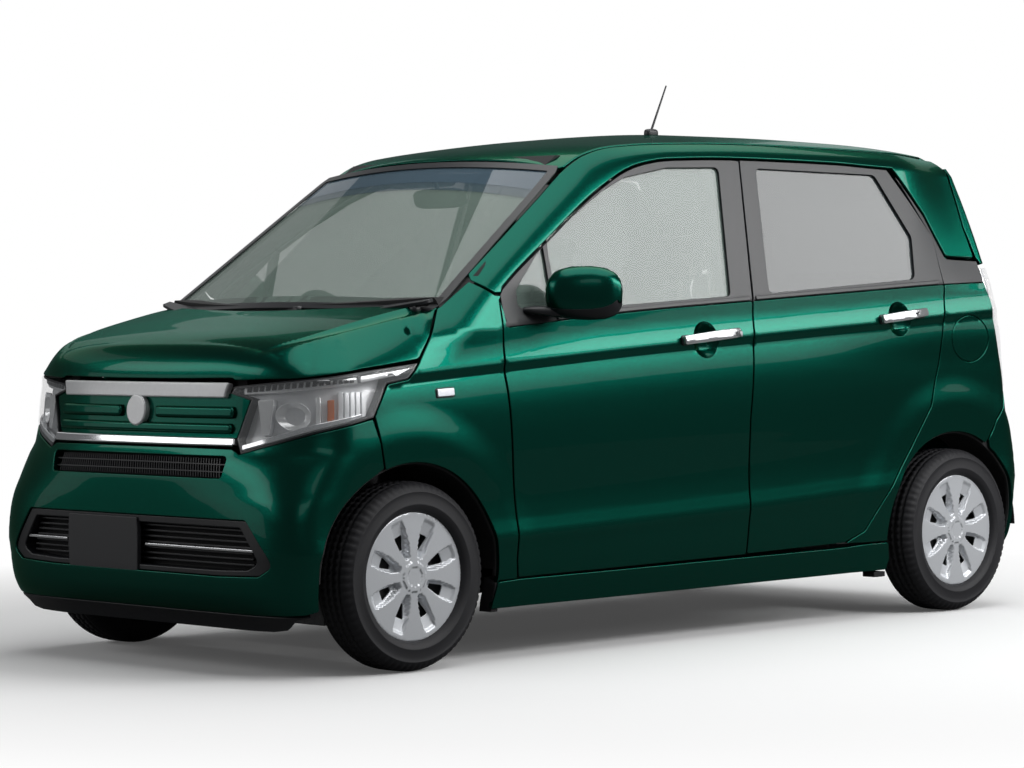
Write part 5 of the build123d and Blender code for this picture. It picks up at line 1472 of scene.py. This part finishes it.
# Inside mirror, roof lining, visors
solid("inner_mirror", merged(pod((.774, 0, 1.414), (.016, .120, .032), .5, (0, -12, 0)),
    tube([(.774 - .035 * t, 0, 1.43 + .055 * t) for t in np.linspace(0, 1, 5)], .008, 10)), CABIN)
solid("inner_mirror_glass", pod((.791, 0, 1.411), (.002, .112, .026), .4, (0, -12, 0)), CHROME)
piece("roof_lining", sheet([(.93, -.47), (2.50, -.46), (2.50, .46), (.93, .47)], lowered(roof, .040),
    gap=.06, depth=.006, edge=.002), CABIN_PALE)
visors = [pod((.880, y, 1.490), (.085, .175, .010), .3, (0, 16, 0)) for y in (-.28, .28)]
solid("sun_visors", merged(*visors), CABIN_PALE)
# Door linings with armrests
front_lining = [(.475, .34, .05), (.46, .97, .03)] + follow(BELT, .50, 1.36, 8, -.022) + [(1.355, .34, .05)]
both("door_lining_front", sheet(front_lining, lowered(outer, .040), gap=.05, depth=.012, edge=.004), CABIN,
    "door_front_{side}")
rear_lining = [(1.54, .34, .05), (1.56, .40)] + follow(BELT, 1.60, 2.30, 8, -.022) + [
    (2.27, .80), (2.05, .50, .05), (1.93, .34, .03)]
both("door_lining_rear", sheet(rear_lining, lowered(outer, .040), gap=.05, depth=.012, edge=.004), CABIN,
    "door_rear_{side}")
for place, x, half in (("front", 1.06, .22), ("rear", 1.93, .16)):
    z = .735 if place == "front" else .76
    pair(f"armrest_{place}", merged(pod((x, -.652, z), (half, .030, .020), .4),
        pod((x - half * .3, -.668, z + .09), (.045, .014, .012), .5)), CABIN, f"door_{place}_{{side}}")


# Carried-over CAD nodes

LOOKS = {"bulkhead": UNDER, "hinge_pillars": JAMB, "load_board": CARPET, "dashboard": CABIN,
    "hinges": STEEL, "engine_block": CAST, "front_suspension": STEEL, "rear_axle": STEEL,
    "fuel_tank": UNDER, "exhaust_pipe": STEEL, "silencer": STEEL, "knuckle_left": CAST,
    "knuckle_right": CAST}
for node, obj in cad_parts.items():
    look = LOOKS.get(node, BLACK)
    if obj.type == "MESH":
        obj.data.materials.clear()
        obj.data.materials.append(look)

# Floor, camera, light


def link(tree, a, b):
    """Joins a node's output to an input."""
    tree.links.new(a, b)


def seen(tree, *rays):
    """1 for the kinds of rays named, each with its own share."""
    path = tree.nodes.new("ShaderNodeLightPath")
    total = None
    for name, share in rays:
        part = tree.nodes.new("ShaderNodeMath")
        part.operation = "MULTIPLY"
        part.inputs[1].default_value = share
        link(tree, path.outputs[name], part.inputs[0])
        if total is None:
            total = part
        else:
            most = tree.nodes.new("ShaderNodeMath")
            most.operation = "MAXIMUM"
            link(tree, total.outputs[0], most.inputs[0])
            link(tree, part.outputs[0], most.inputs[1])
            total = most
    return total.outputs[0]


def floor_look():
    """Pale floor: white away from the car, its shadow near it, and darker to the light it sends back."""
    mat = bpy.data.materials.new("floor_white")
    mat.use_nodes = True
    tree = mat.node_tree
    tree.nodes.clear()
    out = tree.nodes.new("ShaderNodeOutputMaterial")
    pale, plain = tree.nodes.new("ShaderNodeBsdfDiffuse"), tree.nodes.new("ShaderNodeBsdfDiffuse")
    pale.inputs["Color"].default_value = (.93, .93, .93, 1)
    plain.inputs["Color"].default_value = (.09, .09, .09, 1)
    glow = tree.nodes.new("ShaderNodeEmission")
    near, far = tree.nodes.new("ShaderNodeAddShader"), tree.nodes.new("ShaderNodeMixShader")
    soft = tree.nodes.new("ShaderNodeEmission")
    soft.inputs["Strength"].default_value = .06
    coords, ramp = tree.nodes.new("ShaderNodeTexCoord"), tree.nodes.new("ShaderNodeMapRange")
    length = tree.nodes.new("ShaderNodeVectorMath")
    length.operation = "LENGTH"
    link(tree, coords.outputs["Object"], length.inputs[0])
    link(tree, length.outputs["Value"], ramp.inputs["Value"])
    ramp.inputs["From Min"].default_value, ramp.inputs["From Max"].default_value = 2.0, 3.6
    link(tree, pale.outputs[0], near.inputs[0])
    link(tree, soft.outputs[0], near.inputs[1])
    link(tree, ramp.outputs[0], far.inputs[0])
    link(tree, near.outputs[0], far.inputs[1])
    link(tree, glow.outputs[0], far.inputs[2])
    kind = tree.nodes.new("ShaderNodeMixShader")
    link(tree, seen(tree, ("Is Camera Ray", 1.), ("Is Transmission Ray", 1.), ("Is Glossy Ray", .08)),
        kind.inputs[0])
    link(tree, plain.outputs[0], kind.inputs[1])
    link(tree, far.outputs[0], kind.inputs[2])
    link(tree, kind.outputs[0], out.inputs["Surface"])
    return mat


floor_mesh = bpy.data.meshes.new("floor")
count = 96
floor_mesh.from_pydata([(7 * cos(2 * pi * k / count), 7 * sin(2 * pi * k / count), -.0005)
    for k in range(count)], [], [tuple(range(count))])
floor_mesh.materials.append(floor_look())
floor = bpy.data.objects.new("floor", floor_mesh)
bpy.context.scene.collection.objects.link(floor)

world = bpy.data.worlds.new("world")
bpy.context.scene.world = world
world.use_nodes = True
tree = world.node_tree
tree.nodes.clear()
out = tree.nodes.new("ShaderNodeOutputWorld")
white, fill, mix = (tree.nodes.new(kind) for kind in ("ShaderNodeBackground", "ShaderNodeBackground",
    "ShaderNodeMixShader"))
white.inputs["Strength"].default_value = 1
white.inputs["Color"].default_value = (1, 1, 1, 1)
fill.inputs["Color"].default_value = (.9, .95, 1, 1)
fill.inputs["Strength"].default_value = .045
link(tree, seen(tree, ("Is Camera Ray", 1.), ("Is Transmission Ray", 1.), ("Is Glossy Ray", .06)),
    mix.inputs[0])
link(tree, fill.outputs[0], mix.inputs[1])
link(tree, white.outputs[0], mix.inputs[2])
link(tree, mix.outputs[0], out.inputs["Surface"])


def softbox(name, place, target, width, height, radiance):
    """Area lamp of an even radiance, aimed at a target and unseen by the camera."""
    light = bpy.data.lights.new(name, "AREA")
    light.shape = "RECTANGLE"
    light.size, light.size_y = width, height
    light.energy = radiance * pi * width * height
    obj = bpy.data.objects.new(name, light)
    obj.location = place
    obj.rotation_euler = (Vector(target) - Vector(place)).to_track_quat("-Z", "Y").to_euler()
    obj.visible_camera = False
    bpy.context.scene.collection.objects.link(obj)


softbox("overhead", (.3, -.4, 4.6), (0, 0, 0), 7.0, 4.6, 1.9)
softbox("side_high", (5.0, -5.9, 4.1), (5.0, 0, .9), 9.5, 1.9, 7.5)
softbox("side_low", (5.0, -6.4, 2.45), (5.0, 0, .9), 9.5, 1.2, 1.6)
softbox("front", (-6.8, 4.2, 3.6), (0, 0, .8), 6, 2.0, 2.4)
softbox("corner", (-7.0, -7.6, 5.2), (0, 0, .8), 4.5, 2.0, 1.0)
softbox("back", (7.5, 2.0, 3.6), (0, 0, .8), 6, 2.4, .6)
softbox("far_side", (0, 7.0, 4.2), (0, 0, .9), 9, 2.0, .5)
softbox("front_low", (-6.6, 4.9, 1.1), (0, 0, .8), 5, 1.5, .7)

camera_data = bpy.data.cameras.new("camera")
camera_data.lens, camera_data.sensor_width = 116.79, 36
camera_data.clip_end = 100
camera = bpy.data.objects.new("camera", camera_data)
bpy.context.scene.collection.objects.link(camera)
eye = Vector((-6.5009 - MID, -7.8889, 1.0741))
aim = Vector((1.0880 - MID, 0, .8076))
ahead = (aim - eye).normalized()
right = ahead.cross(Vector((0, 0, 1))).normalized()
up = right.cross(ahead)
roll = radians(-.5842)
right, up = right * cos(roll) + up * sin(roll), up * cos(roll) - right * sin(roll)
turn = Matrix((right, up, -ahead)).transposed()
camera.matrix_world = Matrix.Translation(eye) @ turn.to_4x4()
bpy.context.scene.camera = camera
bpy.context.scene.view_settings.view_transform = "Standard"
